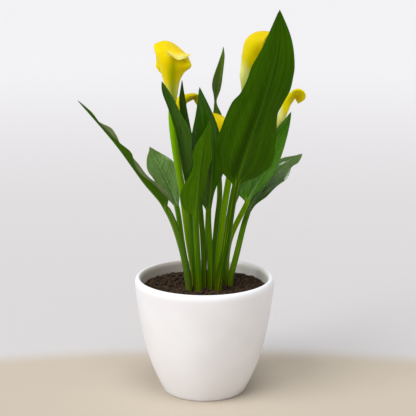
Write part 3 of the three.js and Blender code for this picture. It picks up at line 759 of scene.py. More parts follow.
@dataclass(frozen=True)
class FloorFinish:
    """Pale tabletop that fades to a paler sweep away from a middle in front, the sweep darker near
    the table as painted shade. In metres.
    """

    table: Colour = srgb(192, 181, 165)
    sweep: Colour = srgb(202, 199, 200)
    far: Colour = srgb(224, 223, 226)
    middle: float = -1.0
    table_edge: tuple[float, float] = (1.105, 1.165)
    sweep_edge: tuple[float, float] = (1.35, 4.05)

    def make(self) -> bpy.types.Material:
        """Makes the tabletop and its sweep.

        Returns:
            The material.
        """
        paint = Paint("pale_floor")
        x, y, _ = paint.split(paint.place())
        back = y - self.middle
        away = (x * x + back * back) ** 0.5
        # painted shade: the sweep darker near the table and paler far off, for the backdrop's
        # uneven light
        sweep = paint.mix(away.step(*self.sweep_edge), self.sweep, self.far)
        return paint.finish(
            Base_Color=paint.mix(away.step(*self.table_edge), self.table, sweep),
            Roughness=0.6, Specular_IOR_Level=0.25)


# ---- pot, soil and tuber ------------------------------------------------------------------
@dataclass
class Pot:
    """Tapered round pot with a soft rolled rim, turned from points of radius and height."""

    foot: Table = ((2, 0), (47.5, 0), (48.5, 0), (49.4, 0.25), (50.3, 1.1))
    outer: Table = ((51, 2.5), (57.6, 16), (64.8, 33), (71.2, 53), (76.5, 76),
                    (80.7, 100), (83.6, 122), (85, 136))
    inner: Table = ((77.3, 136), (76.4, 118), (70.4, 76), (65.2, 53), (58.8, 33), (51.5, 16))
    hollow: Table = ((48.8, 11.2), (45.5, 9), (2, 9))
    crest: float = 143.5
    squareness: float = 2.3
    sides: int = 160

    def profile(self) -> Array:
        """Goes up the outside, over the rim and down the inside.

        Returns:
            Points of radius and height.
        """
        outside = Curve(self.outer).at(np.linspace(0, 1, 44))
        inside = Curve(self.inner).at(np.linspace(0, 1, 26))
        (r1, z1), (r0, _) = self.outer[-1], self.inner[0]
        turn = np.linspace(0, math.pi, 19)[1:-1]
        bulge = 2 / self.squareness
        rim = np.stack([
            (r1 + r0) / 2 + (r1 - r0) / 2 * np.sign(np.cos(turn)) * np.abs(np.cos(turn)) ** bulge,
            z1 + (self.crest - z1) * np.sin(turn) ** bulge], -1)
        return np.vstack([self.foot, outside, rim, inside, self.hollow])

    def build(self) -> None:
        """Makes and dresses the pot."""
        line = self.profile()
        rings = circle(line[:, :1], line[:, 1:], around(self.sides))
        settle(Skin(rings).build("white_pot"), Slot.POT, PotFinish().make(), "pot")


@dataclass
class Soil:
    """Potting soil with a lumpy top, heaped a little round the stalks, and loose crumbs on it."""

    radius: float = 76.4
    wall: Table = ((44.5, 9.3), (51.1, 16), (58.4, 33), (64.8, 53), (70.0, 76), (76.3, 122))
    bump: float = 1.6
    crumbs: int = 1500
    small: tuple[float, float] = (0.8, 2.2)
    large: tuple[float, float] = (2.2, 3.3)
    seed: int = 7

    def height(self, x: Array | float, y: Array | float) -> Array | float:
        """Height of the soil's top.

        Args:
            x: place to the right of the pot's axis, in millimetres.
            y: place behind it.
        Returns:
            The height, in millimetres.
        """
        r = np.hypot(x, y)
        lumps = (np.sin(x * 0.31 + 1.3) * np.cos(y * 0.27 - 0.4)
                 + 0.6 * np.sin(x * 0.17 - y * 0.23 + 2.1) + 0.4 * np.cos(x * 0.43 + y * 0.39))
        fine = (np.sin(x * 1.37 + 2 * np.sin(y * 0.9)) * np.sin(y * 1.51 + 2 * np.sin(x * 0.8))
                + 0.6 * np.sin(x * 2.9 + 1.7 * np.sin(y * 2.3)) * np.sin(y * 3.1 + x))
        return SOIL_TOP + 1.5 * np.exp(-(r / 40) ** 2) + self.bump * lumps / 2 + 0.45 * fine

    def body(self) -> bpy.types.Object:
        """Makes the soil as one closed body.

        Returns:
            The object.
        """
        turn = around(300)
        rings = [circle(r, z, turn) for r, z in self.wall]
        for r in [*np.linspace(self.radius, 3.0, 60), 1.0]:
            rings.append(circle(r, self.height(r * np.cos(turn), r * np.sin(turn)), turn))
        return Skin(np.array(rings)).build("soil_body")

    def loose(self) -> bpy.types.Object:
        """Strews crumbs over the soil, as one mesh of small dented twenty-sided lumps.

        Returns:
            The object.
        """
        draw = np.random.default_rng(self.seed)
        golden = (1 + 5 ** 0.5) / 2
        lump = unit(np.array([np.roll((0, a, b * golden), -k)
                              for k in range(3) for a in (-1, 1) for b in (-1, 1)]))
        longest = 1.1
        sides = [face for face in combinations(range(len(lump)), 3)
                 if max(math.dist(lump[p], lump[q]) for p, q in combinations(face, 2)) < longest]
        outward = np.array([face if np.linalg.det(lump[list(face)]) > 0
                            else face[:1] + face[:0:-1] for face in sides])
        points, faces = [], []
        for k in range(self.crumbs):
            size = draw.uniform(*(self.small if k % 6 else self.large))
            r = (self.radius - size - 1.0) * math.sqrt(draw.uniform())
            a = draw.uniform(0, 2 * math.pi)
            x, y = r * math.cos(a), r * math.sin(a)
            rough = lump * draw.uniform(0.7, 1.15, (len(lump), 1)) * draw.uniform(0.75, 1.2, 3)
            points.append(np.array([x, y, self.height(x, y) + size * 0.25]) + rough * size)
            faces += (outward + len(lump) * k).tolist()
        return add_mesh("soil_crumbs", np.vstack(points) * MM, faces)

    def build(self) -> None:
        """Makes and dresses the soil and its crumbs."""
        look = SoilFinish().make()
        settle(self.body(), Slot.SOIL, look, "soil")
        settle(self.loose(), Slot.SOIL, look, "soil")


@dataclass
class Tuber:
    """The tuber under the soil, whose CAD node is shown with a better finish."""

    node: str = "tuber"

    def build(self) -> None:
        """Dresses the CAD node."""
        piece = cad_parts[self.node]
        piece.data.materials.clear()
        piece.data.materials.append(TuberFinish().make())
        LOG.info("%s: CAD node kept", self.node)


# ---- leaves -------------------------------------------------------------------------------
@dataclass
class Leaf:
    """A leaf on its stalk. Sizes are those of its CAD node, in millimetres and degrees.

    path is the centreline, with the blade from its point number neck on. outline gives the left
    and right half widths at shares of the blade. face is the azimuth to which the upper side
    turns, and each other pair is a size at the foot and at the tip, or left and right. blend is
    the share of the blade in which the stalk flattens, sweep the power with which side veins
    arch, and last the share at which the blade ends.
    """

    node: str
    finish: LeafFinish
    path: Table
    outline: Table
    face: tuple[float, float]
    tilt: float
    fold: tuple[float, float]
    stalk: tuple[float, float]
    lobe: float
    neck: int = 3
    wave: tuple[float, float, float] = (0.0, 0.0, 0.0)
    curl: float = 0.0
    rake: tuple[float, float] = (0.2, 0.2)
    swell: float = 0.13
    across: int = 22
    step: float = 1.7
    thick: float = 0.62
    point: float = 0.4
    thinnest: float = 0.06
    blend: float = 0.1
    sweep: float = 1.25
    last: float = 0.9985

    def half_width(self, t: Array, side: Array) -> Array:
        """Half width of the blade.

        Args:
            t: shares of the blade's length, one a row.
            side: 0 for the left half, 1 for the right, one a column.
        Returns:
            The half widths, rows by columns.
        """
        rows = (*self.outline, (1, self.point, self.point))
        both = hermite(rows, t) * np.sqrt(np.clip((1 - t) / 0.02, 0, 1))[:, None]
        return np.maximum(self.thinnest, both)[:, side]

    def shares(self, curve: Curve, neck: float) -> Array:
        """Where along the centreline the rings stand: stalk, neck, blade, tip.

        Args:
            curve: the centreline.
            neck: the share at which the blade begins.
        Returns:
            Shares of its length.
        """
        stalk = np.linspace(0, neck, max(12, int(neck * curve.length / 5)), endpoint=False)
        t = np.linspace(0, 1, int((1 - neck) * curve.length / self.step))
        blade = neck + (1 - neck) * (0.72 * t + 0.28 * (1 - (1 - t) ** 2)) * self.last
        return np.concatenate([stalk, blade])

    def lift(self, t: Array, u: Array, width: Array, fold: Array, lane: Array) -> Array:
        """Height of the blade over its midrib, from fold, curl, waves and swellings.

        Args:
            t: shares of the blade's length, one a row.
            u: places across it from -1 to 1, one a column.
            width: half widths.
            fold: how far each half is folded up, one a row.
            lane: places on the side veins.
        Returns:
            The heights, rows by columns.
        """
        s, out = width * u, np.abs(u)
        height, count, phase = self.wave
        ruffle = (height * np.sin(2 * np.pi * (count * t + phase + 0.31 * (u < 0)))
                  * np.sqrt(np.maximum(0, np.sin(np.pi * t))) * out ** 1.6)
        belly = (smooth(out / 0.25) * (1 - 0.6 * smooth((out - 0.7) / 0.3))
                 * (1 - smooth((t - 0.8) / 0.2)))
        swell = (self.swell * belly * np.minimum(1, (width / 14) ** 1.5)
                 * np.cos(2 * np.pi * lane * self.finish.veins))
        drift = (0.35 * np.sin(9.0 * t + 4.0 * u + phase * 7)
                 + 0.25 * np.sin(17.0 * t - 6.0 * u)) * out
        lift = (np.sqrt(s * s + 2.25) - 1.5) * np.sin(fold) + self.curl * width * out ** 2.2
        return lift + ruffle + swell + drift * np.minimum(1, width / 12)

    def sheet(self) -> tuple[Array, Array, Array, dict[str, Array]]:
        """Works out the leaf.

        Returns:
            The middle surface, the heights of the top and the bottom over it, and the marks of
            one face, all rows by columns.
        """
        curve = stalk_curve(self.path)
        neck = curve.share_of(self.neck + 1)
        share = self.shares(curve, neck)
        centre, along = curve.at(share), curve.along(share)
        along[share < 0.02] = (0, 0, 1)
        t = np.clip((share - neck) / (1 - neck), 0, 1)
        azimuth = self.face[0] + (self.face[1] - self.face[0]) * smooth(t)
        normal = across(direction(azimuth, self.tilt), along)
        side = np.cross(along, normal)
        q = np.linspace(-1, 1, 2 * self.across + 1)  # across the blade, u closer at its edges
        u = np.sign(q) * (0.55 * np.abs(q) + 0.45 * smooth(np.abs(q)))
        theta = (1 - q) * math.pi / 2
        width = self.half_width(t, (u >= 0).astype(int))
        s = width * u
        tt, uu = t[:, None], np.abs(u)[None, :]
        blend = smooth(tt / self.blend)
        stalk = np.interp(share, [0, neck], self.stalk)[:, None]
        fold = np.radians(self.fold[0] + (self.fold[1] - self.fold[0]) * tt)
        lane = tt - np.where(u < 0, *self.rake) * uu ** self.sweep
        x = (1 - blend) * stalk * np.cos(theta) + blend * s * np.cos(fold)
        back = blend * self.lobe * uu ** 1.5 * (1 - tt) ** 3
        lift = blend * self.lift(tt, u, width, fold, lane)
        middle = (centre[:, None] + side[:, None] * x[..., None]
                  + normal[:, None] * lift[..., None] - along[:, None] * back[..., None])
        # the stalk is round with a shallow groove, the blade thin with a ridge under its midrib
        groove = 1 - 0.3 * np.exp(-((np.cos(theta) / 0.4) ** 2))
        edge = np.sqrt(np.maximum(0, 1 - uu ** 10) * np.minimum(1, (1 - tt) / 0.012 + 0.01))
        blade = self.thick / 2 * (1 - 0.35 * uu) * edge
        rib = 0.2 + 0.6 * stalk * (1 - tt) ** 1.2
        ridge = rib * np.exp(-((s / (0.85 * rib)) ** 2))
        channel = 0.35 * rib * np.exp(-((s / (0.6 * rib)) ** 2))
        stem = (1 - blend) * stalk * np.sin(theta)
        top = stem * groove + blend * (blade - channel)
        bottom = stem + blend * (blade + ridge)
        return middle, top, bottom, {
            "leaf_place": bundle(u, tt, 1.0),
            "leaf_size": bundle(s, middle[..., 2], blend),
            "leaf_vein": bundle(lane, 0.0, 0.0),
        }

    def build(self) -> None:
        """Makes and dresses the leaf."""
        middle, top, bottom, marks = self.sheet()
        normals = grid_normals(middle)
        lower = middle - normals * bottom[..., None]
        rings = np.concatenate([middle + normals * top[..., None], lower[:, -2:0:-1]], 1)
        for label, above in marks.items():
            below = above.copy()
            if label == "leaf_place":
                below[..., 2] = -1
            above[:, (0, -1)] = (above + below)[:, (0, -1)] / 2
            marks[label] = np.concatenate([above, below[:, -2:0:-1]], 1)
        piece = Skin(rings, marks).build(self.node.replace("leaf_", "calla_leaf_"))
        settle(piece, Slot.LEAF, self.finish.make(), self.node)


# ---- flowers ------------------------------------------------------------------------------
class Tube:
    """Centreline of a spathe's tube: a straight or bending run from its foot."""

    REACH = 120.0
    STEPS = 480

    def __init__(self, base: tuple[float, ...], axis: tuple[float, ...], bend_to: float,
                 bend: Table) -> None:
        """Works out the run.

        Args:
            base: its foot.
            axis: its direction at the foot.
            bend_to: azimuth toward which it turns.
            bend: how far it has turned, in degrees, at distances along it.
        """
        self.axis = unit(np.array(axis, float))
        self.toward = across(direction(bend_to, 0.0), self.axis)
        self.bend = np.array(bend, float)
        self.distance = np.linspace(0, self.REACH, self.STEPS + 1)
        middle = self.turned((self.distance[1:] + self.distance[:-1]) / 2)
        runs = np.cumsum(middle * self.REACH / self.STEPS, axis=0)
        self.points = np.array(base, float) + np.vstack([np.zeros(3), runs])

    def angle(self, distance: Array) -> Array:
        """How far the tube has turned, in radians."""
        return np.radians(np.interp(distance, self.bend[:, 0], self.bend[:, 1]))

    def turned(self, distance: Array) -> Array:
        """Direction of the tube at distances along it."""
        a = self.angle(distance)[..., None]
        return np.cos(a) * self.axis + np.sin(a) * self.toward

    def point(self, distance: Array) -> Array:
        """Points of the tube's centreline."""
        return read(self.distance, self.points, distance)

    def carry(self, vector: Array, distance: Array) -> Array:
        """A direction across the foot, carried along the bend.

        Args:
            vector: the direction.
            distance: how far it is carried.
        Returns:
            The directions there.
        """
        a = self.angle(distance)[..., None]
        part = float(vector @ self.toward)
        return vector + part * (np.cos(a) - 1) * self.toward - part * np.sin(a) * self.axis


@dataclass
class Flower:
    """A calla flower: scape, spathe and spadix. Sizes are those of its CAD nodes.

    tip is the azimuth of the spathe's tip, and meridians give its wall as points of radius
    and distance at angles from the tip. The spathe overlaps itself by overlap degrees to each
    side, turned by shift, and layer says which end lies outside. petal and gap are the thickness
    and the room between the layers.
    """

    name: str
    finish: SpatheFinish
    stem: Table
    base: tuple[float, float, float]
    axis: tuple[float, float, float]
    tip: float
    meridians: dict[float, Table]
    spadix: tuple[float, float]
    scape: tuple[float, float] = (3, 3.2)
    overlap: float = 12
    shift: float = 0.0
    trim: float = 0.05
    point: float = 2
    bend_to: float = 0.0
    bend: Table = ((0, 0), (100, 0))
    ruffle: float = 0.35
    layer: int = 1
    columns: int = 72
    rows: int = 56
    petal: float = 0.8
    gap: float = 0.9
    florets: int = 12
    floret: float = 1.5

    def __post_init__(self) -> None:
        """Works out the tube."""
        self.tube = Tube(self.base, self.axis, self.bend_to, self.bend)

    def meridian(self, phi: float) -> Array:
        """Control points of the spathe's wall at an angle.

        Args:
            phi: the angle from the tip, in degrees.
        Returns:
            Points of radius and distance along the tube.
        """
        rows = [(key, *np.ravel(line)) for key, line in sorted(self.meridians.items())]
        if rows[-1][0] - rows[0][0] < 360:
            rows = ([(key - 360, *line) for key, *line in rows[-2:]] + rows
                    + [(key + 360, *line) for key, *line in rows[:2]])
        return hermite(rows, np.array([phi])).reshape(-1, 2)

    def spathe_sheet(self) -> tuple[Array, Array, Array]:
        """Works out the spathe.

        Returns:
            Its middle surface, rows by columns, the turn from the tip of each column, and the
            share of its meridian at which each row stands.
        """
        tipward = across(direction(self.tip, 0.0), self.tube.axis)
        sideways = np.cross(self.tube.axis, tipward)
        q = np.linspace(-1, 1, self.columns)
        u = np.sign(q) * np.abs(q) ** 1.15
        phi = u * (180 + self.overlap) + self.shift
        rise = np.linspace(0, 1, self.rows) ** 0.95
        sheet = np.empty((self.rows, self.columns, 3))
        for j, (angle, turn) in enumerate(zip(phi, u)):
            control = self.meridian(angle)
            a = math.radians(angle)
            end = control[-1] - control[-2]
            control[-1] += unit(end) * self.point * math.exp(-(a / 0.3) ** 2)
            curve = Curve(control)
            trim = 1 - self.trim * smooth((abs(turn) - 0.72) / 0.28) ** 1.5
            radius, distance = curve.at(rise * trim).T
            slope = curve.along(rise * trim)
            ripple = self.ruffle * rise ** 4 * math.sin(5 * a + 1.0)
            out = self.tube.carry(tipward * math.cos(a) + sideways * math.sin(a), distance)
            normal = out * slope[:, 1:] - self.tube.turned(distance) * slope[:, :1]
            lay = self.layer * (self.petal + self.gap) / 2 * turn
            sheet[:, j] = (self.tube.point(distance) + out * radius[:, None]
                           + normal * (lay + ripple)[:, None])
        return sheet, phi / 180, rise[:, None]

    def build_spathe(self) -> None:
        """Makes and dresses the spathe."""
        def loop(outside: Array, inside: Array) -> Array:
            """Rings that run along the outer face and back along the inner one."""
            return np.concatenate([outside, inside[:, ::-1]], 1)

        sheet, turn, share = self.spathe_sheet()
        normals = grid_normals(sheet)
        q = np.abs(np.linspace(-1, 1, self.columns))
        k = np.linspace(0, 1, self.rows)[:, None]
        edge = np.sqrt(np.maximum(0, (1 - q ** 24) * (1 - k ** 40)))
        half = self.petal / 2 * (1 - 0.35 * k) * edge
        veins = 0.05 * np.cos(turn * 46 * math.pi) * smooth(k / 0.1) * (1 - k) ** 0.3
        outer = sheet + normals * (half + veins)[..., None]
        inner = sheet - normals * (half - veins)[..., None]
        rings = np.concatenate([loop(sheet, sheet)[:1], loop(outer, inner)])
        marks = loop(bundle(turn, share, 1.0), bundle(turn, share, -1.0))
        marks = np.concatenate([marks[:1], marks])
        piece = Skin(rings, {"spathe_place": marks}).build(f"calla_spathe_{self.name}")
        settle(piece, Slot.SPATHE, self.finish.make(), f"spathe_{self.name}")

    def build_scape(self, look: bpy.types.Material) -> None:
        """Makes and dresses the flower stalk.

        Args:
            look: its material.
        """
        base, axis = np.array(self.base), self.tube.axis
        curve = stalk_curve((*self.stem, base - 16 * axis, base - 0.3 * axis))
        share, turn = np.linspace(0, 1, 72), around(28)
        radius = np.interp(share, [0, 1], self.scape)[:, None]
        radius = radius * (1 + 0.012 * np.sin(9 * turn + 3 * share[:, None]))
        rings = ringed(curve.at(share), curve.along(share), radius, turn)
        marks = bundle(np.abs(turn / math.pi - 1), share[:, None], rings[..., 2])
        piece = Skin(rings, {"stem_place": marks}).build(f"calla_scape_{self.name}")
        settle(piece, Slot.SCAPE, look, f"scape_{self.name}")

    def build_spadix(self, look: bpy.types.Material) -> None:
        """Makes and dresses the spadix, its florets as domes in staggered rows.

        Args:
            look: its material.
        """
        length, radius = self.spadix
        share, turn = np.linspace(0, 1, 120) ** 0.95, around(72)
        end = np.sqrt(np.maximum(0.02, 1 - np.maximum(0, (share - 0.8) / 0.2) ** 2))
        body = radius * (0.72 + 0.28 * smooth(share / 0.35)) * end
        row = share[:, None] * (length / self.floret)
        a = (turn * self.florets / (2 * math.pi) + 0.5 * (np.floor(row) % 2)) % 1 - 0.5
        b = row % 1 - 0.5
        dome = np.sqrt(np.maximum(0, 1 - 3.2 * (a * a + b * b)))
        distance = 0.2 + share * length
        rings = ringed(self.tube.point(distance), self.tube.turned(distance),
                       body[:, None] * (0.92 + 0.12 * dome), turn)
        marks = bundle(turn, share[:, None], dome)
        piece = Skin(rings, {"spadix_place": marks}).build(f"calla_spadix_{self.name}")
        settle(piece, Slot.SPADIX, look, f"spadix_{self.name}")

    def build(self, stalk: bpy.types.Material, florets: bpy.types.Material) -> None:
        """Makes the whole flower.

        Args:
            stalk: the look of its scape.
            florets: the look of its spadix.
        """
        self.build_scape(stalk)
        self.build_spathe()
        self.build_spadix(florets)


def fan(root: Table, rows: dict[float, Table], mirrored: bool = False) -> dict[float, Table]:
    """Meridians that start with the same points.

    Args:
        root: those points.
        rows: the further points, by angle from the tip.
        mirrored: whether each stands on both sides of the tip.
    Returns:
        The whole meridians, by angle.
    """
    whole = {angle: (*root, *row) for angle, row in rows.items()}
    return whole | {-angle: row for angle, row in whole.items() if mirrored and angle % 180}


# ---- the plant ----------------------------------------------------------------------------
def leaves() -> Iterator[Leaf]:
    """The ten leaves of the plant.

    Returns:
        The leaves, one after the other.
    """
    yield Leaf(
        "leaf_front_tall", LeafFinish(
            "leaf_front_tall_under", under=srgb(50, 92, 1), under_deep=srgb(34, 66, 1),
            midrib=srgb(84, 122, 6), stalk=srgb(46, 80, 0), vein=0.22, rib=0.45,
            rib_top=srgb(26, 56, 0), rib_width=1.7, painted_rib_shadow=0.9, veins=30),
        path=((17, -19), (17, -20, 140), (25, -22, 182), (36.5, -33, 261), (50, -47, 308),
              (70, -60, 370), (84, -66, 430), (85, -64, 474)),
        outline=((0, 3, 3), (0.06, 15, 19), (0.18, 33, 35.5), (0.31, 30, 38.2), (0.464, 20, 36.5),
                 (0.53, 22, 30.2), (0.6, 25, 27), (0.67, 24, 26), (0.732, 22, 22.5),
                 (0.87, 12.5, 13)),
        face=(95, 90), tilt=10, fold=(12, 6), stalk=(5, 4.4), lobe=5, curl=-0.05,
        wave=(2.5, 1.6, 0.1), rake=(0.42, 0.3), swell=0.06, across=34, step=1.5)
    yield Leaf(
        "leaf_front_short", LeafFinish(
            "leaf_front_short_under", under=srgb(66, 108, 1), under_deep=srgb(46, 84, 1),
            midrib=srgb(74, 100, 8), vein=0.2, rib=0.6, rib_top=srgb(48, 62, 4), rib_width=1.6,
            veins=26),
        path=((-6, -25), (-6.5, -26, 140), (-9, -33, 195), (-9.9, -38, 226.4), (-6.7, -47, 261.8),
              (-4.1, -54, 289.6), (-0.8, -58, 312.8), (2.7, -61, 330.9), (5.8, -62, 346.3)),
        outline=((0, 3, 3), (0.06, 4, 12), (0.12, 3.9, 17.5), (0.18, 4.4, 20.7), (0.25, 5.1, 21.1),
                 (0.32, 7.2, 18.8), (0.4, 9, 13.9), (0.48, 9.3, 10.2), (0.56, 10.2, 9.3),
                 (0.64, 11.7, 11.3), (0.72, 10.1, 10.5), (0.8, 7.6, 7.6), (0.88, 5.4, 4),
                 (0.94, 3.6, 1.8)),
        face=(95, 85), tilt=10, fold=(14, 8), stalk=(3.9, 3.6), lobe=3)
    yield Leaf(
        "leaf_centre", LeafFinish("leaf_green"),
        path=((7, -13), (7, -13, 140), (6.5, -12, 185), (5, -9, 223.6), (7.8, -11, 256.1),
              (9.8, -14, 290.8), (8.1, -13, 326.8), (1.9, -10, 355), (-5.7, -6, 377.1)),
        outline=((0, 3, 3), (0.08, 8.8, 3.6), (0.18, 15, 5), (0.25, 19.6, 8), (0.32, 23, 13),
                 (0.4, 26, 14.6), (0.48, 27.9, 13.6), (0.56, 27.8, 11.8), (0.64, 25.8, 9.8),
                 (0.72, 21.7, 7.6), (0.8, 15.9, 5.2), (0.88, 10, 2.9), (0.94, 5.4, 1.5)),
        face=(-90, -85), tilt=5, fold=(24, 16), stalk=(3.5, 3.2), lobe=2)
    yield Leaf(
        "leaf_left_folded", LeafFinish(
            "leaf_folded_sheen", upper=srgb(62, 106, 3), upper_deep=srgb(34, 70, 1), wax=0.5,
            sheen=0.12),
        path=((-10, -14), (-10.5, -14, 140), (-16, -18, 205), (-19.5, -25, 253.2),
              (-22.9, -28, 286.5), (-27.1, -30, 312), (-32.4, -31, 336), (-39.7, -31, 357.3),
              (-47.3, -29, 375.8), (-49.3, -28, 387.3)),
        outline=((0, 3, 3), (0.1, 5.6, 8), (0.18, 7.5, 11), (0.25, 9.4, 12.3), (0.4, 11.5, 12.6),
                 (0.48, 10.8, 14.6), (0.56, 10.8, 14.2), (0.64, 11, 11.4), (0.72, 10.1, 9.3),
                 (0.8, 9.2, 8.4), (0.88, 7.6, 7.1), (0.94, 5.3, 5)),
        face=(-60, -50), tilt=5, fold=(40, 42), stalk=(3.2, 3.0), lobe=2)
    yield Leaf(
        "leaf_spike", LeafFinish("leaf_green"),
        path=((0, -3), (0, -3, 140), (-3, -1, 205), (-9.5, 1, 268.1), (-15.4, 3, 299.5),
              (-20.4, 4, 326.1), (-24.7, 4, 356.2), (-26.4, 2, 384.1)),
        outline=((0, 2.6, 2.6), (0.1, 5, 3.2), (0.25, 5.6, 4.6), (0.4, 6.1, 5.2), (0.56, 6.3, 4.6),
                 (0.72, 6.4, 3.6), (0.82, 5.4, 2.7), (0.9, 3.3, 1.6)),
        face=(-90, -90), tilt=5, fold=(35, 30), stalk=(3.4, 3.0), lobe=2)
    yield Leaf(
        # its pale grey-olive upper colours are partly its own olive tone and partly painted sheen
        "leaf_far_left", LeafFinish(
            "leaf_rolled_olive_sheen", upper=srgb(134, 144, 104), upper_deep=srgb(88, 96, 62), wax=0.6,
            vein=0.2),
        path=((-18, -17), (-19, -17, 140), (-27, -21, 185), (-43, -25, 231), (-71, -29, 268),
              (-101, -30, 310), (-122, -28, 335), (-148, -24, 364)),
        outline=((0, 4, 4), (0.08, 14, 13), (0.18, 12, 14), (0.32, 5.5, 6.5), (0.42, 8, 8),
                 (0.49, 11, 9), (0.58, 5.5, 5.5), (0.65, 6, 7), (0.71, 8, 8.5), (0.8, 4.2, 4.2),
                 (0.9, 3.5, 3.5)),
        face=(-10, 0), tilt=45, fold=(60, 60), stalk=(4.7, 4.0), lobe=2, wave=(2, 3.1, 0.2))
    yield Leaf(
        # its pale grey-green upper colours are partly painted sheen
        "leaf_left_back", LeafFinish(
            "leaf_back_pale_sheen", upper=srgb(104, 136, 72), upper_deep=srgb(68, 104, 42),
            midrib=srgb(40, 76, 20), rib_top=srgb(40, 76, 20), rib=0.5, rib_width=1.5, vein=0.5,
            veins=16, wax=0.8, sheen=0.3),
        path=((-20, 7), (-20.5, 7.5, 140), (-27, 15, 180), (-33.8, 27, 223), (-39.9, 35, 238.8),
              (-47.9, 43, 253.4), (-56.4, 51, 267.4), (-64.2, 58, 279.8), (-68.1, 62, 292.1)),
        outline=((0, 3, 3), (0.08, 4.6, 4), (0.18, 9.1, 8.4), (0.25, 11.8, 11.9), (0.4, 13.8, 18.2),
                 (0.56, 14.6, 20.6), (0.64, 15.6, 20.2), (0.72, 14.4, 17.4), (0.8, 10.7, 14.1),
                 (0.88, 6, 10.2), (0.94, 2.2, 5.4)),
        face=(-75, -75), tilt=30, fold=(15, 8), stalk=(3.5, 3.2), lobe=3)
    yield Leaf(
        "leaf_top_slim", LeafFinish(
            "leaf_slim_light", upper=srgb(98, 130, 40), upper_deep=srgb(56, 84, 20), rib=0.7,
            rib_top=srgb(104, 128, 50)),
        path=((10, 6), (10.2, 6.4, 145), (15, 16, 205), (18.5, 22, 240), (16, 28, 285),
              (12, 31, 322), (13.0, 32, 338.8), (13.2, 33, 356.3), (15.6, 33, 369.7),
              (18.3, 33, 381.9), (21, 32, 400.1), (22.6, 31, 420)),
        outline=((0, 2.6, 2.6), (0.08, 3.6, 10), (0.12, 4, 10), (0.18, 3.8, 7.4), (0.25, 2.4, 3.8),
                 (0.32, 1.4, 1.9), (0.4, 4, 3.2), (0.48, 8.2, 4.4), (0.56, 9.6, 4.2),
                 (0.64, 8.8, 3.6), (0.8, 4.8, 3.2), (0.88, 2.7, 3.2), (0.94, 1.1, 2.1)),
        face=(-60, -100), tilt=5, fold=(30, 30), stalk=(4.0, 2.8), lobe=0, neck=5)
    yield Leaf(
        # its pale midrib colour on strong side veins is partly real veins and partly painted
        # highlight streaks along them
        "leaf_right", LeafFinish(
            "leaf_right_gloss", upper=srgb(66, 128, 0), upper_deep=srgb(28, 76, 0),
            stalk=srgb(108, 146, 0), midrib=srgb(134, 180, 74), rib_top=srgb(60, 110, 4), vein=0.4,
            wax=1.0, sheen=0.0, coat=(0.14, 1.65), veins=30),
        path=((26, 9), (26.2, 9.2, 140), (31, 15, 185), (51.4, 22, 228.6), (58.7, 27, 242.5),
              (69.3, 30, 259.3), (82.2, 33, 278.7), (93.4, 34, 303.3), (100.6, 32, 323.4),
              (104.7, 30, 341.4)),
        outline=((0, 3, 3), (0.06, 13, 3.4), (0.12, 16.5, 4.8), (0.18, 18.5, 8.3),
                 (0.25, 20.4, 11.7), (0.32, 20.8, 13.4), (0.48, 20.9, 11.2), (0.64, 17.3, 7.7),
                 (0.8, 11.3, 4.2), (0.88, 7.4, 2.6), (0.94, 3.9, 1.6)),
        face=(-115, -105), tilt=20, fold=(25, 20), stalk=(3.5, 3.2), lobe=6, swell=0.24,
        rake=(0.4, 0.4))
    yield Leaf(
        # its greyish upper colours are partly painted sheen
        "leaf_right_low", LeafFinish(
            "leaf_low_gloss", upper=srgb(88, 118, 58), upper_deep=srgb(52, 92, 26), wax=1.0,
            sheen=0.2, vein=0.25, coat=(0.12, 1.8), veins=30),
        path=((31, -4), (31.3, -3.5, 140), (38, 4, 165), (51.7, 28, 212), (59, 36, 225.3),
              (70, 45, 239.6), (83.6, 55, 253.1), (98.8, 64, 264), (112.1, 70, 273.6),
              (122.4, 74, 280.9)),
        outline=((0, 3, 2.8), (0.1, 5.2, 3.4), (0.18, 7.9, 4.8), (0.25, 10.4, 8.2),
                 (0.32, 12, 11.4), (0.48, 14.3, 13.3), (0.6, 15, 15), (0.66, 14.9, 14),
                 (0.72, 13.8, 10.7), (0.78, 12.2, 6.4), (0.82, 10.6, 5.6), (0.88, 6.9, 6.6),
                 (0.94, 3.5, 4.2)),
        face=(-95, -90), tilt=45, fold=(15, 10), stalk=(4, 3.4), lobe=3, swell=0.2,
        rake=(0.35, 0.35))


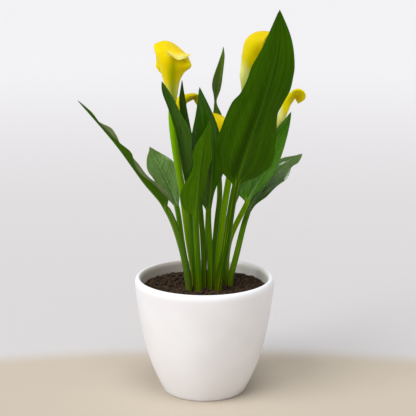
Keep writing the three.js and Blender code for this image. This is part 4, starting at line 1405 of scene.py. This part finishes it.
def flowers() -> Iterator[Flower]:
    """The five flowers of the plant.

    Returns:
        The flowers, one after the other.
    """
    yield Flower(
        "left", SpatheFinish(
            "spathe_left_yellow", green=srgb(110, 148, 0), yellow=srgb(250, 228, 0),
            warm=srgb(246, 210, 0), pale=srgb(224, 222, 90), streak=0.7, streak_turn=-0.42,
            streak_width=0.26, foot=0.36, lip=(0.9, -0.22, 0.44)),
        stem=((-11, -3), (-11.3, -3.1, 140), (-19, -6, 190), (-27, -9, 256), (-35, -9, 305)),
        base=(-38.5, -5, 352), axis=(0, 0, 1), tip=-8, overlap=17.5, shift=37.5, trim=0.0, layer=-1,
        rows=84, scape=(4, 4), spadix=(38, 3.1), columns=96,
        meridians=fan(((3.6, 0), (5, 8), (7, 20)), {
            -160: ((9.1, 33), (11.5, 41.7), (14.5, 50.4), (16.3, 55), (17, 57.5), (17.4, 60)),
            -137: ((9.6, 33), (12.8, 44), (15.2, 53), (16.2, 59), (16.4, 63), (16.3, 66.5)),
            -107: ((9.9, 33), (13.2, 44), (15.4, 54), (16, 62), (15.8, 66.5), (15.6, 70)),
            -85: ((9.9, 33), (13, 44), (15, 54), (16, 63), (17.2, 67.5), (19.6, 66)),
            -62: ((9.8, 33), (12.6, 44), (14, 53), (14.6, 61), (17.5, 65.3), (23, 60.4)),
            -40: ((9.6, 33), (13.6, 44), (17, 51), (14.6, 60), (18, 65), (22, 60.6)),
            -10: ((9, 32), (15, 42.5), (23, 50), (20.5, 58), (19.5, 62.5), (20.6, 62.5)),
            4: ((9, 31), (14.5, 42.5), (22.5, 50.5), (20, 58.5), (19.5, 62), (20.8, 63)),
            25: ((10, 33), (13.5, 44), (17.5, 51), (18.2, 57), (18.4, 60), (18.9, 62.6)),
            56: ((10.2, 33), (13.6, 44), (16.3, 53), (17.6, 60), (18.3, 63.5), (18.9, 66.5)),
            100: ((10.2, 34), (13.6, 46), (16, 57), (17.6, 66), (18.3, 71), (18.9, 75.5)),
            130: ((10.2, 34), (13.6, 46), (16, 57), (17.4, 66), (17.9, 72), (18.4, 77.6)),
            153: ((10, 33), (13.4, 45), (16.2, 56), (18.4, 66), (19.4, 71), (20.2, 75.8)),
            168: ((9.6, 32), (13, 43), (16.6, 51.5), (17.6, 58.5), (20.4, 66), (23, 72.6)),
        }) | {
            184: ((3.6, 0), (5, 8), (6.8, 20), (8.3, 31), (11.3, 39), (16.8, 44.6), (19.4, 50),
                  (17.6, 56), (18.4, 61)),
            202: ((3.4, 0), (4.6, 8), (6.2, 20), (7.6, 31), (9.6, 39), (12.4, 44), (14, 48),
                  (14.2, 51), (14.4, 54)),
            236: ((3.4, 0), (4.6, 8), (6, 20), (8, 31), (10.4, 40), (12.5, 46), (13.4, 50),
                  (13.8, 53), (14, 55)),
        })
    yield Flower(
        "high", SpatheFinish(
            "spathe_high_yellow", pale=srgb(246, 250, 150), green=srgb(150, 164, 0), streak=0.36,
            streak_turn=0.5, streak_width=0.42, foot=0.4, painted_hood_shade=0.85),
        stem=((14, -4), (14.2, -4, 140), (22, 1, 215), (28, 4, 255), (38, 8, 311)),
        base=(48.2, 10, 369), axis=(0.14, 0, 1), tip=165, overlap=20, trim=0.08, point=6,
        bend_to=-10, scape=(3.8, 4), spadix=(34, 3.1), rows=64, columns=96,
        bend=((0, 0), (20, 4), (40, 10), (52, 22), (64, 55), (76, 90)),
        meridians=fan(((3.6, 0),), {
            -90: ((5.5, 8), (9, 20), (13, 32), (16, 43), (18, 56), (21, 66)),
            -40: ((5.6, 8), (9.2, 19), (12.2, 32), (15, 45), (16.6, 58), (16, 69)),
            0: ((5.7, 8), (9.3, 18), (10.8, 31), (13.4, 43), (16.8, 57), (8.5, 75)),
            50: ((5.6, 8), (9, 19), (11.6, 32), (14.8, 45), (17, 60), (15, 74)),
            90: ((5.5, 8), (9, 20), (13, 32), (16, 45), (17, 57), (19, 68)),
            180: ((5.5, 8), (9, 20), (12, 28), (14, 35), (16, 41), (20, 45)),
        }))
    yield Flower(
        "right", SpatheFinish(
            "spathe_right_yellow", yellow=srgb(255, 238, 6), warm=srgb(255, 226, 2),
            pale=srgb(255, 248, 140), green=srgb(140, 160, 4), inside=srgb(226, 200, 2), foot=0.5,
            tip=0.25),
        stem=((16, 14), (16.2, 14, 140), (23, 21, 190), (49, 38, 255), (74, 42, 285)),
        base=(88.5, 42, 315), axis=(0.27, 0, 1), tip=160, bend_to=-20, spadix=(28, 2.2),
        bend=((0, 0), (15, 3), (37, 6), (42, 23), (53, 38), (60, 95), (66, 165), (68, 205),
              (72, 212), (84, 212)),
        meridians=fan(((2.9, 0), (3.6, 7), (4.3, 17)), {
            0: ((4.4, 28), (4.5, 43), (4.2, 58), (1, 75)),
            30: ((4.4, 28), (4.5, 41), (4.4, 53), (3.8, 65)),
            60: ((4.4, 28), (4.5, 39), (4.7, 48), (4.8, 56)),
            90: ((4.4, 27), (4.5, 37), (4.8, 44), (5.2, 50)),
        }, mirrored=True) | {
            180: ((2.9, 0), (3.5, 7), (4.1, 14), (4.3, 21), (4.4, 27), (4.5, 32), (4.8, 37)),
        })
    yield Flower(
        "left_low", SpatheFinish(
            "spathe_left_low_yellow", yellow=srgb(252, 230, 0), warm=srgb(250, 216, 0),
            inside=srgb(226, 200, 2), tip=0.35),
        stem=((-9, 8), (-9.1, 8.1, 140), (-13, 12, 210), (-23, 17, 270)),
        base=(-30.5, 20, 317), axis=(0.03, 0, 1), tip=180, spadix=(26, 2.2),
        bend=((0, 0), (24, 3), (33, 10), (40, 36), (45, 58), (50, 66), (55, 90), (58, 130),
              (61, 175), (74, 190)),
        meridians=fan(((2.9, 0), (4, 7), (5.5, 17)), {
            0: ((7.2, 29), (8.3, 38), (4, 48), (1, 70)),
            35: ((7, 29), (7.2, 38), (4, 48), (3, 61)),
            90: ((6.8, 28), (6.1, 37), (3.9, 46), (3.2, 54)),
            180: ((6.3, 24), (5.6, 31), (4.4, 37), (3.8, 42)),
        }, mirrored=True))
    yield Flower(
        "centre", SpatheFinish("spathe_centre_yellow", inside=srgb(236, 204, 0)),
        stem=((-1, 15), (-0.9, 15.1, 140), (3.5, 14, 200), (6, 10, 260)),
        base=(8, 9, 290), axis=(0.08, 0, 1), tip=115, trim=0.1, point=1, spadix=(24, 2.2),
        meridians=fan(((2.9, 0), (4, 7), (5, 17)), {
            -90: ((7, 28), (10, 37), (12.5, 42), (16, 46)),
            0: ((7.5, 28), (10.5, 38), (12.4, 45), (13.6, 51)),
            90: ((7, 27), (9, 35), (10.5, 40), (12, 45)),
        }) | {
            180: ((2.9, 0), (4, 6), (5, 13), (6.2, 19), (7.4, 23), (8.4, 26), (10, 28)),
        })


# ---- stage --------------------------------------------------------------------------------
@dataclass
class Studio:
    """Pale floor, soft lights and the camera at the photograph's angle, in metres."""

    floor: float = 40.0
    eye: tuple[float, float, float] = (0.0043, -1.7, 0.637)
    pitch: float = 13.5
    focus: float = 1449.4
    room: float = 0.44

    def build_floor(self) -> None:
        """A wide flat disc under the pot."""
        rim = circle(self.floor, 0.0, around(96))
        made = add_mesh("floor", rim, [list(range(len(rim)))])
        made.data.materials.append(FloorFinish().make())

    def lamp(self, name: str, toward: tuple[float, float, float], spread: float,
             power: float) -> None:
        """Adds a broad soft light, far away.

        Args:
            name: its name.
            toward: the direction in which it hangs.
            spread: its width as seen from the plant, in degrees.
            power: its strength.
        """
        light = bpy.data.lights.new(name, "SUN")
        light.angle = math.radians(spread)
        light.energy = power
        made = add(name, light)
        made.location = toward
        made.rotation_mode = "QUATERNION"
        made.rotation_quaternion = (-Vector(toward)).to_track_quat("-Z", "Y")

    def build_light(self) -> None:
        """Key from the front left, a soft top light, a weak fill, and a bright even room."""
        self.lamp("key", (-1.3, -0.95, 1.5), 42, 2.05)
        self.lamp("top", (0.06, -0.27, 1.0), 26, 1.15)
        self.lamp("fill", (1.2, -1.4, 1.0), 60, 0.2)
        world = bpy.data.worlds.new("room")
        world.use_nodes = True
        sky = world.node_tree.nodes["Background"]
        sky.inputs["Color"].default_value = (1.0, 1.0, 1.0, 1.0)
        sky.inputs["Strength"].default_value = self.room
        bpy.context.scene.world = world

    def build_camera(self) -> None:
        """The camera, from a focal length in pixels of the square picture."""
        lens = bpy.data.cameras.new("camera")
        lens.sensor_width = 36.0
        lens.lens = self.focus * lens.sensor_width / PICTURE
        made = add("camera", lens)
        made.location = self.eye
        made.rotation_euler = (math.radians(90 - self.pitch), 0, 0)
        bpy.context.scene.camera = made

    def build(self) -> None:
        """Makes the stage."""
        self.build_floor()
        self.build_light()
        self.build_camera()
        bpy.context.scene.view_settings.view_transform = "Standard"


def main() -> None:
    """Builds the plant and its stage."""
    logging.basicConfig(level=logging.INFO, format="%(message)s")
    Studio().build()
    Pot().build()
    Soil().build()
    Tuber().build()
    for leaf in leaves():
        leaf.build()
    stalk, florets = ScapeFinish().make(), SpadixFinish().make()
    for flower in flowers():
        flower.build(stalk, florets)


if __name__ == "__main__":
    main()
